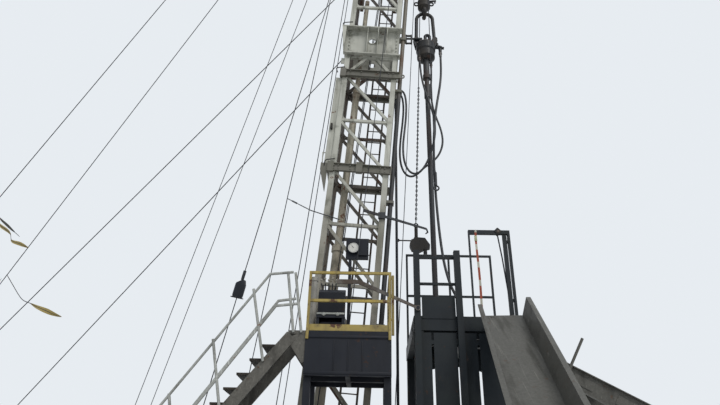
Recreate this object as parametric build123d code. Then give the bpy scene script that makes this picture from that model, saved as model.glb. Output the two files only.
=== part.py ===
from build123d import *
import math
import os

# A guyed workover rig: leaning two-section mast, driller's platform, work floor, slide and stairs.
# Millimetres. +X points from the mast to the well, +Y to the far side, +Z up.
# The origin is on the ground under the middle of the mast's foot.

os.makedirs("parts", exist_ok=True)

# Clearance between pieces that only touch in passing
fit_gap = 0.3

# Half the side of the boxes that cut a piece off at the ground or at a level
cut_reach = 20000

# Base skid
runner_length = 7300
runner_start = -3500
runner_spacing = 2700
runner_width = 260
skid_height = 340
beam_flange = 26
beam_web = 20
skid_beam_places = [-3100, -1700, -640, 0, 640, 1500, 2620, 3500]
skid_beam_width = 240
deck_start = -950
deck_plate = 12
deck_level = skid_height + deck_plate
cellar_size = 680

# Pedestal under the mast
pedestal_margin_x = 60
pedestal_margin_y = 40
pedestal_post = 180
pedestal_frame = 160
pedestal_drop = 220
pedestal_brace = (60, 90)
pad_depth = 120

# Mast
lean_angle = 4.03
mast_foot = 1200
lower_width = 1290
lower_depth = 860
leg_size = 120
brace_size = 62
lower_bay = 1333
first_brace = 350
corner_plate = 130
corner_thickness = 14
strut_size = 70
strut_gap = 110
lower_bays = 8
girder_bottom = 10275
girder_height = 800
girder_web = 14
girder_flange = 24
girder_overhang = 55
girder_wing = 90
girder_top_reach = 190
girder_low_reach = 100
girder_far_reach = 80
girder_hole = 80
girder_stiffener = 16
lower_top = 13650
upper_width = 1000
upper_depth = 590
upper_leg = 88
upper_brace = 48
upper_start = 12500
upper_bay = 1440
upper_bays = 10
cylinder_x = -300
side_channel_width = 150
side_channel_depth = 60
collar_levels = [7020, 9680]
collar_height = 190
collar_reach = 60
collar_web = 30
gusset_height = 620
gusset_reach = 150
clamp_size = 140
eye_reach = 145
eye_hole = 28
lower_levels = [first_brace + lower_bay * i for i in range(lower_bays)]
lower_levels += [girder_bottom + girder_height + 880, lower_top - 80]
upper_levels = [upper_start + 100 + upper_bay * i for i in range(upper_bays + 1)]
mast_height = upper_levels[-1] + 60
lower_side = (lower_depth - leg_size) / 2
upper_side = (upper_depth - upper_leg) / 2

# Ladder, scoping cylinder, standpipe and risers
ladder_left = 40
ladder_right = 380
ladder_foot = 600
first_rung = 800
rung_pitch = 330
cylinder_stages = [(0, 5200, 105), (5200, 5330, 130), (5330, 9400, 82), (9400, 9500, 100),
                   (9500, upper_start + 60, 58)]
standpipe_radius = 50
standpipe_foot = 3000
standpipe_top = 14400
clamp_levels = [3600, 6300, 9300, 10950, 13300]
riser_x = 1325
riser_places = [60, 150]
riser_radius = 26
riser_top = 10500
bracket_thickness = 60

# Crown
crown_height = 420
crown_reach = 760
sheave_radius = 330
sheave_width = 40
sheave_pitch = 60
sheave_count = 6
groove_depth = 34
shaft_radius = 55
well_x = 2100

# Drum between the pedestal's rear posts
pedestal_gap = 290
drum_x = -640
drum_z = 730
drum_radius = 200

# Travelling gear
block_sheave = 250
sheave_drop = 490
block_top = 15050
block_height = 1150
block_width = 560
block_depth = 340
fall_radius = 11
block_plate = 30
block_nose = 130
bail_radius = 45
bail_half = 210
bail_eye = 78
bail_pin = 30
hook_bend = 120
hook_thickness = 52
hook_barrel = 165
swivel_top = 12480
swivel_bottom = 11700
swivel_radius = 245
swivel_arm_reach = 650
swivel_arm_side = 120
swivel_eye = swivel_top - 120
swivel_outlet = 11950
bail_foot = bail_half + 25
port_end = 11680
hose_ports = [(1930, -120), (2235, 120)]
gooseneck_radius = 42
port_radius = 34
stem_radius = 58
pipe_radius = 57
pipe_bottom = 3600
joint_radius = 78
joint_length = 430
joint_places = [4760, 10500]

# Driller's platform
platform_x = -310
platform_width = 1460
platform_front = -1560
platform_depth = 1010
platform_level = 4300
platform_fascia = 750
rail_height = 1080
rail_size = 46
toe_height = 120
toe_thickness = 12
bench_size = (500, 330, 330)
console_length = 490
console_depth = 300
console_levers = 5

# Weight gauge on the platform
gauge_width = 450
gauge_low = 1690
gauge_high = 2130
dial_place = 150
dial_level = 1915
dial_radius = 125
dial_rim = 17

# Work floor
floor_x = 1560
floor_width = 2000
floor_half = 1200
floor_level = 4700
floor_beam = 250
floor_plate = 12
column_size = 160
post_size = 110
post_gap = 2
post_places = [1570, 2320]
post_top = 5930
well_opening = 620
floor_rail_height = 1150
back_rail_height = 2180
panel_height = 400
column_inset = 90
frame_edge = 120
frame_rib = 60
screen_widths = [300, 400, 310, 430]
screen_gap = 42
screen_foot = 2300
manifold_x = 2500
manifold_y = -410
rotary_foot = 4880

# Brake lever on the work floor's corner post
lever_hub = 48
lever_thickness = 30
lever_rest = 3.2
lever_pivot = (1630, -floor_half - post_gap - post_size - 2 * lever_rest - lever_thickness / 2, 4800)
pin_radius = 18
pin_gap = 0.06
paddle_start = 170
paddle_end = 560
paddle_height = 84
paddle_level = 5270

# Door frame and slide
door_left = 2640
door_width = 790
door_height = 1720
door_tube = 75
slide_width = 660
slide_length = 8600
slide_angle = 38.0
slide_turn = -5.5
slide_plate = 14
slide_wall = 210
slide_gap = 190
slide_shift = 85
slide_flange = 60
slide_high_wall = 330
slide_hooks = [240, 560]

# Stairs
stair_angle = 51.5
landing_length = 300
rail_angle = 55.5
stair_rail_radius = 24
post_lean = 13
stair_width = 700
stair_front = -1530
stringer_depth = 200
stringer_thickness = 40
tread_rise = 239
tread_depth = 240
right_stair_angle = 30
right_stair_turn = -9
right_stair_width = 640
right_beam_depth = 330
right_stair_head = 4150
right_tread_rise = 205
stair_rail_runs = [(5345, 15, -400), (4852, 95, -210), (4762, 140, -245)]
landing_posts = [(225, 1075), (90, 1050)]
stair_post_count = 5
stair_post_pitch = 620
stub_place = 480

# Pipe tong beside the string
tong_x = 1660
tong_y = 400
tong_low = 6640
tong_high = 6900
tong_eye = 7262
snub_x = 1376
snub_level = 6889

# Hooked bar across the mast, points as (x, z)
hook_arm_start = (610, 7179)
hook_arm_end = (1917, 6765)
hook_arm_bend = (1937, 6690)
hook_arm_tip = (1895, 6655)
hook_arm_grip = 400

# Hoses, points as (x, y, z)
service_hose_radius = 24
rotary_hose_radius = 28
hose_foot = riser_top + bracket_thickness + fit_gap
hose_head = port_end - fit_gap
left_hose_route = [
    (1325, 60, hose_foot), (1325, 60, 10660), (1400, 56, 10790), (1530, 48, 10750), (1584, 40, 10440),
    (1572, 28, 9980), (1524, 5, 9520), (1476, -25, 9060), (1500, -60, 8620), (1625, -90, 8330),
    (1810, -110, 8290), (1990, -124, 8520), (2136, -132, 8920), (2232, -138, 9350), (2230, -140, 9800),
    (2135, -142, 10220), (2020, -142, 10650), (1950, -134, 11080), (1930, -120, 11480),
    (1930, -120, hose_head),
]
right_hose_route = [
    (1325, 150, hose_foot), (1325, 150, 10650), (1392, 149, 10760), (1490, 147, 10690), (1524, 142, 10330),
    (1490, 136, 9850), (1430, 130, 9340), (1408, 122, 8870), (1468, 116, 8520), (1610, 112, 8340),
    (1790, 112, 8390), (1960, 116, 8600), (2150, 122, 8740), (2335, 126, 8960), (2440, 126, 9290),
    (2410, 126, 9660), (2300, 128, 10030), (2215, 136, 10430), (2200, 142, 10870), (2235, 120, 11320),
    (2235, 120, hose_head),
]
rotary_hose_route = [
    (2470, 0, swivel_outlet - fit_gap), (2470, 0, 11640), (2454, -24, 11240), (2404, -80, 10820),
    (2322, -156, 10370), (2240, -218, 9870), (2182, -246, 9290), (2154, -256, 8650), (2154, -262, 8000),
    (2172, -268, 7350), (2206, -276, 6700), (2264, -296, 6050), (2370, -346, 5560), (2500, -410, 5260),
    (2500, -410, rotary_foot),
]

# Lines that hang from the crown: head (x, y), foot (x, y, z) and radius
hanging_lines = [
    ((2230, -325), (2161, -350, 8240), 10),
    ((2600, -374), (1091, -535, deck_level + 1), 8),
    ((2490, -325), (372, -830, platform_level + 1), 9),
    ((2600, 325), (1770, 400, 7330), 10),
]

# Guys and lines
crown_lugs = [26700, 23050, 19400]
crown_tail = 160
mast_lugs = [10150, 12900]
lug_reach = 90
lug_thickness = 30
lug_drop = 110
guy_radius = 11
anchor_radius = 130
anchor_height = 260
escape_lug = 19400
tie_share = 0.303
tie_route = [(-498, -456, 7162), (-60, -456, 7016), (100, -456, 6962)]
tail_routes = [(-300, (-2600, 3000)), (-100, (-1720, 3000)), (100, (-1700, 4000))]
guy_routes = [
    (-upper_width / 2, -upper_side, crown_lugs[0], (-14000, 3420)),
    (-upper_width / 2, -upper_side, crown_lugs[1], (-14200, 6140)),
    (-upper_width / 2, -upper_side, escape_lug, (-3440, 2000)),
    (-lower_width / 2, -lower_side, mast_lugs[1], (-13200, 4310)),
    (-lower_width / 2, -lower_side, mast_lugs[0], (-11500, 5400)),
    (-upper_width / 2, upper_side, crown_lugs[0], (-8000, 9050)),
    (-upper_width / 2, upper_side, crown_lugs[1], (-8000, 10300)),
]

def block(x0, x1, y0, y1, z0, z1):
    """A box between two corners."""
    middle = ((x0 + x1) / 2, (y0 + y1) / 2, (z0 + z1) / 2)
    return Pos(*middle) * Box(x1 - x0, y1 - y0, z1 - z0)


def bar(start, end, width, height, side=(0, 1, 0)):
    """A rectangular bar from point to point; its width lies along side."""
    a = Vector(*start)
    b = Vector(*end)
    plane = Plane(origin=a, x_dir=Vector(*side), z_dir=(b - a))
    return extrude(plane * Rectangle(width, height), amount=(b - a).length)


def rod(start, end, radius):
    """A round bar from point to point."""
    a = Vector(*start)
    b = Vector(*end)
    plane = Plane(origin=a, z_dir=(b - a))
    return extrude(plane * Circle(radius), amount=(b - a).length)


def fuse(pieces):
    """One solid from pieces that meet."""
    return pieces[0] + pieces[1:] if len(pieces) > 1 else pieces[0]


def save(name, pieces):
    """Write one node; pieces that don't touch stay separate solids."""
    flat = []
    for piece in pieces if isinstance(pieces, list) else [pieces]:
        flat += piece.solids()
    shape = flat[0] if len(flat) == 1 else Compound(children=flat)
    shape.label = name
    export_step(shape, f"parts/{name}.step")


def i_beam(start, end, width, height, side=(0, 1, 0)):
    """An I-section from point to point; its flanges are width wide along side."""
    a = Vector(*start)
    b = Vector(*end)
    plane = Plane(origin=a, x_dir=Vector(*side), z_dir=(b - a))
    flange = Pos(0, (height - beam_flange) / 2) * Rectangle(width, beam_flange)
    section = flange + Pos(0, (beam_flange - height) / 2) * Rectangle(width, beam_flange)
    section += Rectangle(beam_web, height)
    return extrude(plane * section, amount=(b - a).length)


def leaning(shape):
    """Carry a shape from the upright mast's own frame to its leaning place."""
    return Pos(0, 0, mast_foot) * Rot(0, lean_angle, 0) * shape


def mast_point(x, y, height):
    """The world place of a point given in the mast's own frame."""
    angle = math.radians(lean_angle)
    return (
        x * math.cos(angle) + height * math.sin(angle),
        y,
        mast_foot + height * math.cos(angle) - x * math.sin(angle),
    )


def lattice_side(width, y, leg, brace, start, end, levels, plain_bay=None, plates=0):
    """Two legs with cross braces, a falling diagonal a bay and corner plates, in one flat side."""
    half = (width - leg) / 2
    pieces = [block(s * half - leg / 2, s * half + leg / 2, y - leg / 2, y + leg / 2, start, end)
              for s in (-1, 1)]
    for level in levels:
        pieces.append(block(-half, half, y - brace / 2, y + brace / 2,
                            level - brace / 2, level + brace / 2))
    for low, high in zip(levels, levels[1:]):
        if low != plain_bay:
            pieces.append(bar((-half, y, high), (half, y, low), brace - 8, brace))
        if plates:
            edge = half - leg / 2 + 2
            foot = low + brace / 2 - 2
            head = high - brace / 2 + 2
            pieces.append(corner(-edge, foot, plates, plates, y))
            pieces.append(corner(edge, head, -plates, -plates, y))
    return fuse(pieces)


def corner(x, z, reach_x, reach_z, y):
    """A triangular plate with a hollow edge in the corner between a leg and a brace."""
    middle = (x + reach_x * 0.36, z + reach_z * 0.36)
    outline = Polyline((x, z + reach_z), (x, z), (x + reach_x, z))
    edge = ThreePointArc((x + reach_x, z), middle, (x, z + reach_z))
    face = make_face([outline, edge])
    return extrude(Plane.XZ.offset(-y) * face, amount=corner_thickness / 2, both=True)


def lattice_back(depth, x, leg, brace, levels):
    """Cross braces and diagonals between the two rear legs."""
    half = depth / 2 - leg - fit_gap
    pieces = []
    for level in levels:
        pieces.append(block(x - brace / 2, x + brace / 2, -half, half,
                            level - brace / 2, level + brace / 2))
    for count, (low, high) in enumerate(zip(levels, levels[1:])):
        turn = 1 if count % 2 else -1
        reach = half - brace
        start = (x, -turn * reach, low)
        end = (x, turn * reach, high)
        pieces.append(bar(start, end, brace - 8, brace, side=(1, 0, 0)))
    return fuse(pieces)


def make_base():
    """Two long runners, the cross beams between them and the deck with its cellar opening."""
    runners = []
    for side in (-1, 1):
        y = side * runner_spacing / 2
        start = (runner_start, y, skid_height / 2)
        end = (runner_start + runner_length, y, skid_height / 2)
        runners.append(i_beam(start, end, runner_width, skid_height))
    save("skid_runners", runners)
    reach = (runner_spacing - runner_width) / 2
    beams = [i_beam((x, -reach, skid_height / 2), (x, reach, skid_height / 2), skid_beam_width,
                    skid_height, side=(1, 0, 0)) for x in skid_beam_places]
    save("skid_beams", beams)
    edge = (runner_spacing + runner_width) / 2
    half = cellar_size / 2
    deck = block(deck_start, runner_start + runner_length, -edge, edge, skid_height, deck_level)
    deck -= block(well_x - half, well_x + half, -half, half, 0, deck_level + 10)
    save("skid_deck", deck)


def make_pedestal():
    """The stand under the mast's four feet, open to the rear, with a bearing pad for each foot."""
    half_x = lower_width / 2 + pedestal_margin_x
    half_y = lower_depth / 2 + pedestal_margin_y
    half_post = pedestal_post / 2
    post_x = half_x - half_post
    post_y = half_y - half_post
    low = deck_level + pedestal_frame
    high = mast_foot - pedestal_drop
    inside = block(-half_x - 10, half_x - pedestal_post, -half_y + pedestal_post, half_y - pedestal_post,
                   0, mast_foot)
    deck = block(-half_x, half_x, -half_y, half_y, high, high + pedestal_frame) - inside
    foot = block(-half_x, half_x, -half_y, half_y, deck_level, low) - inside
    braces = [bar((-post_x, y, low), (post_x, y, high), *pedestal_brace) for y in (-post_y, post_y)]
    posts = []
    pads = [block(cylinder_x - 70, cylinder_x + 120, -half_y + 170, half_y - 170,
                  high, high + pedestal_frame)]
    for sx in (-1, 1):
        for sy in (-1, 1):
            x = sx * post_x
            y = sy * post_y
            posts.append(block(x - half_post, x + half_post, y - half_post, y + half_post, low, high))
            pads.append(pad(sx * (lower_width - leg_size) / 2, sy * lower_side, leg_size + 30))
    pads.append(pad(cylinder_x, 0, 200))
    save("mast_pedestal", fuse([deck, foot] + braces + posts + pads))


def pad(x, y, size):
    """A bearing pad whose top lies square under a leaning leg."""
    half = size / 2
    piece = leaning(block(x - half, x + half, y - half, y + half, -160, 0))
    low = mast_foot - pad_depth
    return piece & block(-cut_reach, cut_reach, -cut_reach, cut_reach, low, cut_reach)


def make_mast_lower():
    """The lower mast section, its collars and its box girder."""
    top = lower_top
    strut_bay = lower_levels[lower_bays - 1]
    sides = []
    for y in (-lower_side, lower_side):
        side = lattice_side(lower_width, y, leg_size, brace_size, 0, top, lower_levels,
                            strut_bay, corner_plate)
        sides.append(side + girder_struts(y, strut_bay))
    near, far = sides
    for height in mast_lugs:
        near += lug(-lower_width / 2, -lower_side, height)
    low = collar_levels[0] + collar_height / 2 + 20
    high = collar_levels[1] - collar_height / 2 - 20
    near += block(-lower_width / 2 - side_channel_width, -lower_width / 2 + 10,
                  -lower_side - side_channel_depth / 2, -lower_side + side_channel_depth / 2, low, high)
    near += step_bracket(low)
    save("mast_lower_near_side", leaning(near))
    save("mast_lower_far_side", leaning(far))
    back_x = -(lower_width - leg_size) / 2
    save("mast_lower_back", leaning(lattice_back(lower_depth, back_x, leg_size, brace_size, lower_levels)))
    for number, level in enumerate(collar_levels):
        save(["mast_collar_lower", "mast_collar_upper"][number], leaning(collar(level, number == 0)))
    save("mast_girder", leaning(girder()))


def girder_struts(y, foot):
    """Two raking struts from the legs to the middle of the girder, under a cross brace."""
    half = (lower_width - leg_size) / 2
    head = girder_bottom - strut_size / 2
    pieces = [block(-half, half, y - brace_size / 2, y + brace_size / 2,
                    head - brace_size / 2, head + brace_size / 2)]
    for side in (-1, 1):
        pieces.append(bar((side * half, y, foot), (side * strut_gap, y, head), strut_size, strut_size))
    return fuse(pieces)


def step_bracket(level):
    """A bent bar on the near left leg, open towards the collar below it."""
    x = -lower_width / 2
    y = -lower_side
    reach = side_channel_width + 60
    bar_radius = 13
    pieces = [rod((x + 20, y, level + 300), (x - reach, y, level + 290), bar_radius),
              rod((x - reach, y, level + 290 + bar_radius), (x - reach + 15, y, level + 60), bar_radius)]
    return fuse(pieces)


def collar(level, is_lower):
    """A channel clamped across the near and far sides and round the back."""
    half_x = lower_width / 2 + collar_reach
    face = lower_depth / 2 + fit_gap
    out = 70
    lip = 18
    low = level - collar_height / 2
    high = level + collar_height / 2
    pieces = []
    for side in (-1, 1):
        y0, y1 = sorted((side * face, side * (face + collar_web)))
        pieces.append(block(-half_x, half_x, y0, y1, low, high))
        y0, y1 = sorted((side * face, side * (face + out)))
        for z in (low, high - lip):
            pieces.append(block(-half_x, half_x, y0, y1, z, z + lip))
        pieces.append(block(-half_x, -half_x + clamp_size, y0, y1, low - 25, high + 25))
    x1 = -lower_width / 2 - fit_gap
    pieces.append(block(-half_x, x1, -face - 10, face + 10, low, high))
    y = -face - collar_web / 2
    if is_lower:
        pieces.append(block(-clamp_size / 2, clamp_size / 2, -face - out - 30, -face, low - 25, high + 30))
        peg_x = half_x - 12
        peg_y = -face - out + 12
        pieces.append(rod((peg_x, peg_y, high), (peg_x, peg_y, low - 160), 12))
        outline = Polyline((-half_x, low), (-half_x + 10, low), (-half_x + 10, level - gusset_height),
                           (-half_x, level - gusset_height), (-half_x - gusset_reach, low + 20),
                           (-half_x - gusset_reach, high), (-half_x, high), close=True)
        pieces.append(extrude(Plane.XZ.offset(-y) * make_face(outline), amount=10, both=True))
    else:
        pieces.append(eye_plate(half_x - 5, y, level))
    return fuse(pieces)


def eye_plate(x, y, z):
    """A plate with a round nose and an eye, for a line's shackle."""
    nose = eye_hole + 26
    plate = block(x, x + eye_reach - nose, y - 12, y + 12, z - nose, z + nose)
    plate += Pos(x + eye_reach - nose, y, z) * Rot(90, 0, 0) * Cylinder(nose, 24)
    return plate - Pos(x + eye_reach - nose, y, z) * Rot(90, 0, 0) * Cylinder(eye_hole, 60)


def girder():
    """The deep box girder round the mast: webs, flanges and stiffeners, open to the well."""
    half_x = lower_width / 2 + girder_overhang
    face = lower_depth / 2 + fit_gap
    low = girder_bottom
    high = girder_bottom + girder_height
    pieces = []
    for side in (-1, 1):
        y0, y1 = sorted((side * face, side * (face + girder_web)))
        web = block(-half_x, half_x - girder_overhang, y0, y1, low, high)
        hole_z = (low + high) / 2 + 60
        lip = Pos(-20, side * (face + girder_web), hole_z) * Rot(90, 0, 0) * Cylinder(girder_hole + 18, 40)
        hole = Pos(-20, side * face, hole_z) * Rot(90, 0, 0) * Cylinder(girder_hole, 160)
        outside = block(-half_x, half_x, *sorted((side * face, side * (face + 60))), low, high)
        pieces.append(web + (lip & outside) - hole)
        top_reach = girder_top_reach if side < 0 else girder_far_reach
        low_reach = girder_low_reach if side < 0 else girder_far_reach
        y0, y1 = sorted((side * face, side * (face + top_reach)))
        pieces.append(block(-half_x - girder_wing, half_x, y0, y1, high - girder_flange, high))
        y0, y1 = sorted((side * face, side * (face + low_reach)))
        pieces.append(block(-half_x, half_x, y0, y1, low, low + girder_flange))
        plate = Polyline((side * face, low), (side * (face + low_reach), low),
                         (side * (face + top_reach), high), (side * face, high), close=True)
        for x in (-half_x, -150, 110, 330):
            pieces.append(extrude(Plane.YZ.offset(x) * make_face(plate), amount=girder_stiffener))
        wing = Polyline((-half_x, low), (-half_x - girder_wing, high), (-half_x + girder_stiffener, high),
                        (-half_x + girder_stiffener, low), close=True)
        y = side * (face + top_reach - girder_stiffener)
        pieces.append(extrude(Plane.XZ.offset(-y) * make_face(wing), amount=girder_stiffener / 2, both=True))
    x1 = -lower_width / 2 - fit_gap
    pieces.append(block(x1 - girder_web, x1, -face - 5, face + 5, low, high))
    return fuse(pieces)


def make_mast_upper():
    """The telescoped upper section."""
    start = upper_start
    for name, y in (("mast_upper_near_side", -upper_side), ("mast_upper_far_side", upper_side)):
        side = lattice_side(upper_width, y, upper_leg, upper_brace, start, mast_height, upper_levels)
        reach = (lower_width - 2 * leg_size) / 2 - fit_gap
        for height in (start + 200, lower_top - 250):
            for turn in (-1, 1):
                x0, x1 = sorted((turn * reach, turn * (upper_width / 2 - 20)))
                side += block(x0, x1, y - 30, y + 30, height, height + 160)
        for height in crown_lugs:
            side += lug(-upper_width / 2, y, height)
        save(name, leaning(side))
    back_x = -(upper_width - upper_leg) / 2
    save("mast_upper_back", leaning(lattice_back(upper_depth, back_x, upper_leg, upper_brace, upper_levels)))


def lug(x, y, height):
    """The plate on a rear leg that a guy is made fast to."""
    half = lug_thickness / 2
    return block(x - lug_reach, x + 10, y - half, y + half, height - lug_drop, height + 50)


def make_crown():
    """The crown block on the mast head, with its sheaves over the well line."""
    base = mast_height
    half_y = upper_depth / 2 + 90
    front = crown_reach
    back = -upper_width / 2 - crown_tail
    pieces = []
    for side in (-1, 1):
        y = side * (half_y - 60)
        pieces.append(block(back, front, y - 60, y + 60, base, base + 180))
        pieces.append(block(back, back + 120, y - 50, y + 50, base + 170, base + crown_height))
    for x in (back + 60, front - 60):
        pieces.append(block(x - 60, x + 60, -half_y, half_y, base + 10, base + 170))
    centre_x, _, centre_z = crown_centre()
    frame = leaning(fuse(pieces))
    for side in (-1, 1):
        y0, y1 = sorted((side * (half_y - 120), side * half_y))
        bearing = block(centre_x - 110, centre_x + 110, y0, y1, centre_z - 110, centre_z + 95)
        frame += bearing
    hole = shaft_radius + fit_gap
    frame -= rod((centre_x, -half_y - 10, centre_z), (centre_x, half_y + 10, centre_z), hole)
    save("crown_frame", frame)
    wheels = []
    for count in range(sheave_count):
        y = (count - (sheave_count - 1) / 2) * sheave_pitch
        wheels.append(Pos(centre_x, y, centre_z) * sheave(sheave_radius, sheave_width))
    shaft = rod((centre_x, -half_y, centre_z), (centre_x, half_y, centre_z), shaft_radius)
    save("crown_sheaves", fuse([shaft] + wheels))


def crown_centre():
    """The main sheaves' axis: one radius behind the well line, between the crown beams."""
    _, _, top = mast_point(0, 0, mast_height + 180)
    return (well_x - 20, 0, top + 60)


def sheave(radius, width):
    """A grooved wheel, turned about its axle, axle along Y."""
    section = Polyline((0, -width / 2), (radius, -width / 2), (radius - groove_depth, 0),
                       (radius, width / 2), (0, width / 2), close=True)
    face = Plane(origin=(0, 0, 0), x_dir=(1, 0, 0), z_dir=(0, 0, 1)) * make_face(section)
    return revolve(face, axis=Axis.Y)


def make_mast_fittings():
    """Ladder, scoping cylinder, standpipe and risers, fixed along the mast."""
    y = lower_depth / 2 + 110
    rungs = []
    places = (ladder_left, ladder_right)
    for x in places:
        rungs.append(block(x - 22, x + 22, y - 12, y + 12, ladder_foot, lower_top))
    for step in range(int((lower_top - first_rung) // rung_pitch)):
        z = first_rung + step * rung_pitch
        rungs.append(rod((ladder_left, y, z), (ladder_right, y, z), 13))
    near = lower_side + brace_size / 2 + fit_gap
    for z in lower_levels[1:]:
        if min(abs(z - level) for level in collar_levels) > collar_height:
            for x in places:
                rungs.append(block(x - 20, x + 20, near, y, z - 20, z + 20))
    save("mast_ladder", leaning(fuse(rungs)))

    x = cylinder_x
    cylinder = [rod((x, 0, low), (x, 0, high), radius) for low, high, radius in cylinder_stages]
    save("scoping_cylinder", leaning(fuse(cylinder)))

    x = lower_width / 2 + 95
    y = -lower_side + 60
    r = standpipe_radius
    head = standpipe_top
    pipe = [rod((x, y, standpipe_foot), (x, y, head), r), Pos(x, y, head) * Sphere(r + 6),
            rod((x, y, head), (x + 100, y, head), r), rod((x + 100, y, head), (x + 165, y, head), r + 12)]
    save("standpipe", leaning(fuse(pipe)))
    clamps = []
    for z in clamp_levels:
        edge = lower_width / 2 + fit_gap
        clamp = block(edge, x + 70, y - 80, y + 80, z - 30, z + 30)
        clamps.append(clamp - Pos(x, y, z) * Cylinder(r + fit_gap, 100))
    save("standpipe_clamps", leaning(fuse(clamps)))


def make_risers():
    """Two hydraulic lines from the skid's deck up to the hose bracket."""
    lines = [rod((riser_x, y, deck_level), (riser_x, y, riser_top), riser_radius) for y in riser_places]
    save("hydraulic_risers", lines)
    x, _, _ = mast_point(lower_width / 2, 0, riser_top - mast_foot + 140)
    bracket = block(x + 0.5, riser_x + 80, 20, lower_depth / 2, riser_top, riser_top + bracket_thickness)
    save("hose_bracket", bracket)


def make_travelling_gear():
    """Block, hook, swivel and pipe, all hanging on the well line."""
    axle = block_top - sheave_drop
    low = block_top - block_height
    save("travelling_block", travelling_block(axle, low))
    throat = low - 560
    save("hook_body", hook(low, throat))
    bail_top = throat - hook_bend + hook_thickness + fit_gap + bail_radius
    save("swivel_bail", bail(bail_top - bail_half))
    save("power_swivel", swivel())
    stem = rod((well_x, 0, swivel_bottom - fit_gap), (well_x, 0, swivel_bottom - 480), stem_radius + 20)
    stem += rod((well_x, 0, swivel_bottom - 480), (well_x, 0, swivel_bottom - 600), 95)
    save("swivel_stem", stem)
    pipe = [rod((well_x, 0, swivel_bottom - 600), (well_x, 0, pipe_bottom), pipe_radius)]
    for z in joint_places:
        collar_pipe = rod((well_x, 0, z), (well_x, 0, z + joint_length), joint_radius)
        pipe.append(chamfer(collar_pipe.edges().filter_by(GeomType.CIRCLE), joint_radius - pipe_radius - 2))
    save("drill_pipe", fuse(pipe))


def plate_outline(circles, thickness, y):
    """A plate in the XZ plane whose outline wraps round circles given as (x, z, radius)."""
    edges = []
    for x, z, radius in circles:
        edges += (Pos(x, z) * Circle(radius)).edges()
    face = make_hull(edges)
    return extrude(Plane.XZ.offset(-y) * face, amount=thickness / 2, both=True)


def travelling_block(axle, low):
    """Two cheek plates, the sheaves between them, their axle and the tie bars."""
    cheek = block_depth / 2
    pieces = []
    for side in (-1, 1):
        y = side * (cheek - block_plate / 2)
        plate = [(well_x, axle, block_width / 2), (well_x, block_top - block_nose, block_nose),
                 (well_x, low + block_nose, block_nose)]
        pieces.append(plate_outline(plate, block_plate, y))
        pieces.append(rod((well_x, side * (cheek - 5), axle), (well_x, side * (cheek + 40), axle), 95))
    pieces.append(rod((well_x, -cheek, axle), (well_x, cheek, axle), shaft_radius))
    for x, z in ((0, block_top - 60), (-120, low + 190), (120, low + 190)):
        pieces.append(rod((well_x + x, 5 - cheek, z), (well_x + x, cheek - 5, z), 28))
    pieces.append(block(well_x - 90, well_x + 90, 5 - cheek, cheek - 5, low + 5, low + 120))
    for count in range(4):
        y = (count - 1.5) * sheave_pitch
        pieces.append(Pos(well_x, y, axle) * sheave(block_sheave, sheave_width))
    return fuse(pieces)


def hook(top, throat):
    """The hook under the block: shank, barrel with two ears, and the bend that holds the bail."""
    barrel_top = top - 90
    barrel_low = throat + hook_bend - 20
    profile = Polyline((0, top - fit_gap), (60, top - fit_gap), (60, barrel_top),
                       (hook_barrel - 40, barrel_top), (hook_barrel, barrel_top - 50),
                       (hook_barrel, barrel_low + 90), (hook_thickness + 20, barrel_low),
                       (0, barrel_low), close=True)
    barrel = revolve(Plane.XZ * make_face(profile), axis=Axis.Z)
    pieces = [Pos(well_x, 0, 0) * barrel]
    bend = Pos(well_x, 0, throat) * Rot(0, 90, 0) * Torus(hook_bend, hook_thickness)
    mouth = block(well_x - 90, well_x + 90, 20, 300, throat - 20, throat + 110)
    pieces.append(bend - mouth)
    ear_z = barrel_top - 130
    for side in (-1, 1):
        x = well_x + side * (hook_barrel + 35)
        ear = Pos(x, 0, ear_z) * Rot(90, 0, 0) * Torus(55, 20)
        pieces.append(ear)
    arm = ear_z + 100
    pieces.append(rod((well_x + 100, 0, arm), (well_x + 330, 0, arm + 25), 26))
    pieces.append(rod((well_x + 300, 0, arm + 22), (well_x + 300, 0, arm - 60), 20))
    return fuse(pieces)


def bail(crown):
    """The swivel's bail: an arch on two legs that end in eyes."""
    ring = Pos(well_x, 0, crown) * Rot(90, 0, 0) * Torus(bail_half, bail_radius)
    pieces = [ring & block(well_x - 400, well_x + 400, -200, 200, crown, crown + 400)]
    holes = []
    for side in (-1, 1):
        eye = (well_x + side * bail_foot, 0, swivel_eye)
        shoulder = (well_x + side * bail_half, 0, crown)
        pieces.append(rod(eye, shoulder, bail_radius))
        pieces.append(Pos(*shoulder) * Sphere(bail_radius))
        pieces.append(Pos(*eye) * Rot(90, 0, 0) * Cylinder(bail_eye, 70))
        holes.append(Pos(*eye) * Rot(90, 0, 0) * Cylinder(bail_pin + fit_gap, 200))
    return fuse(pieces) - holes


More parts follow.
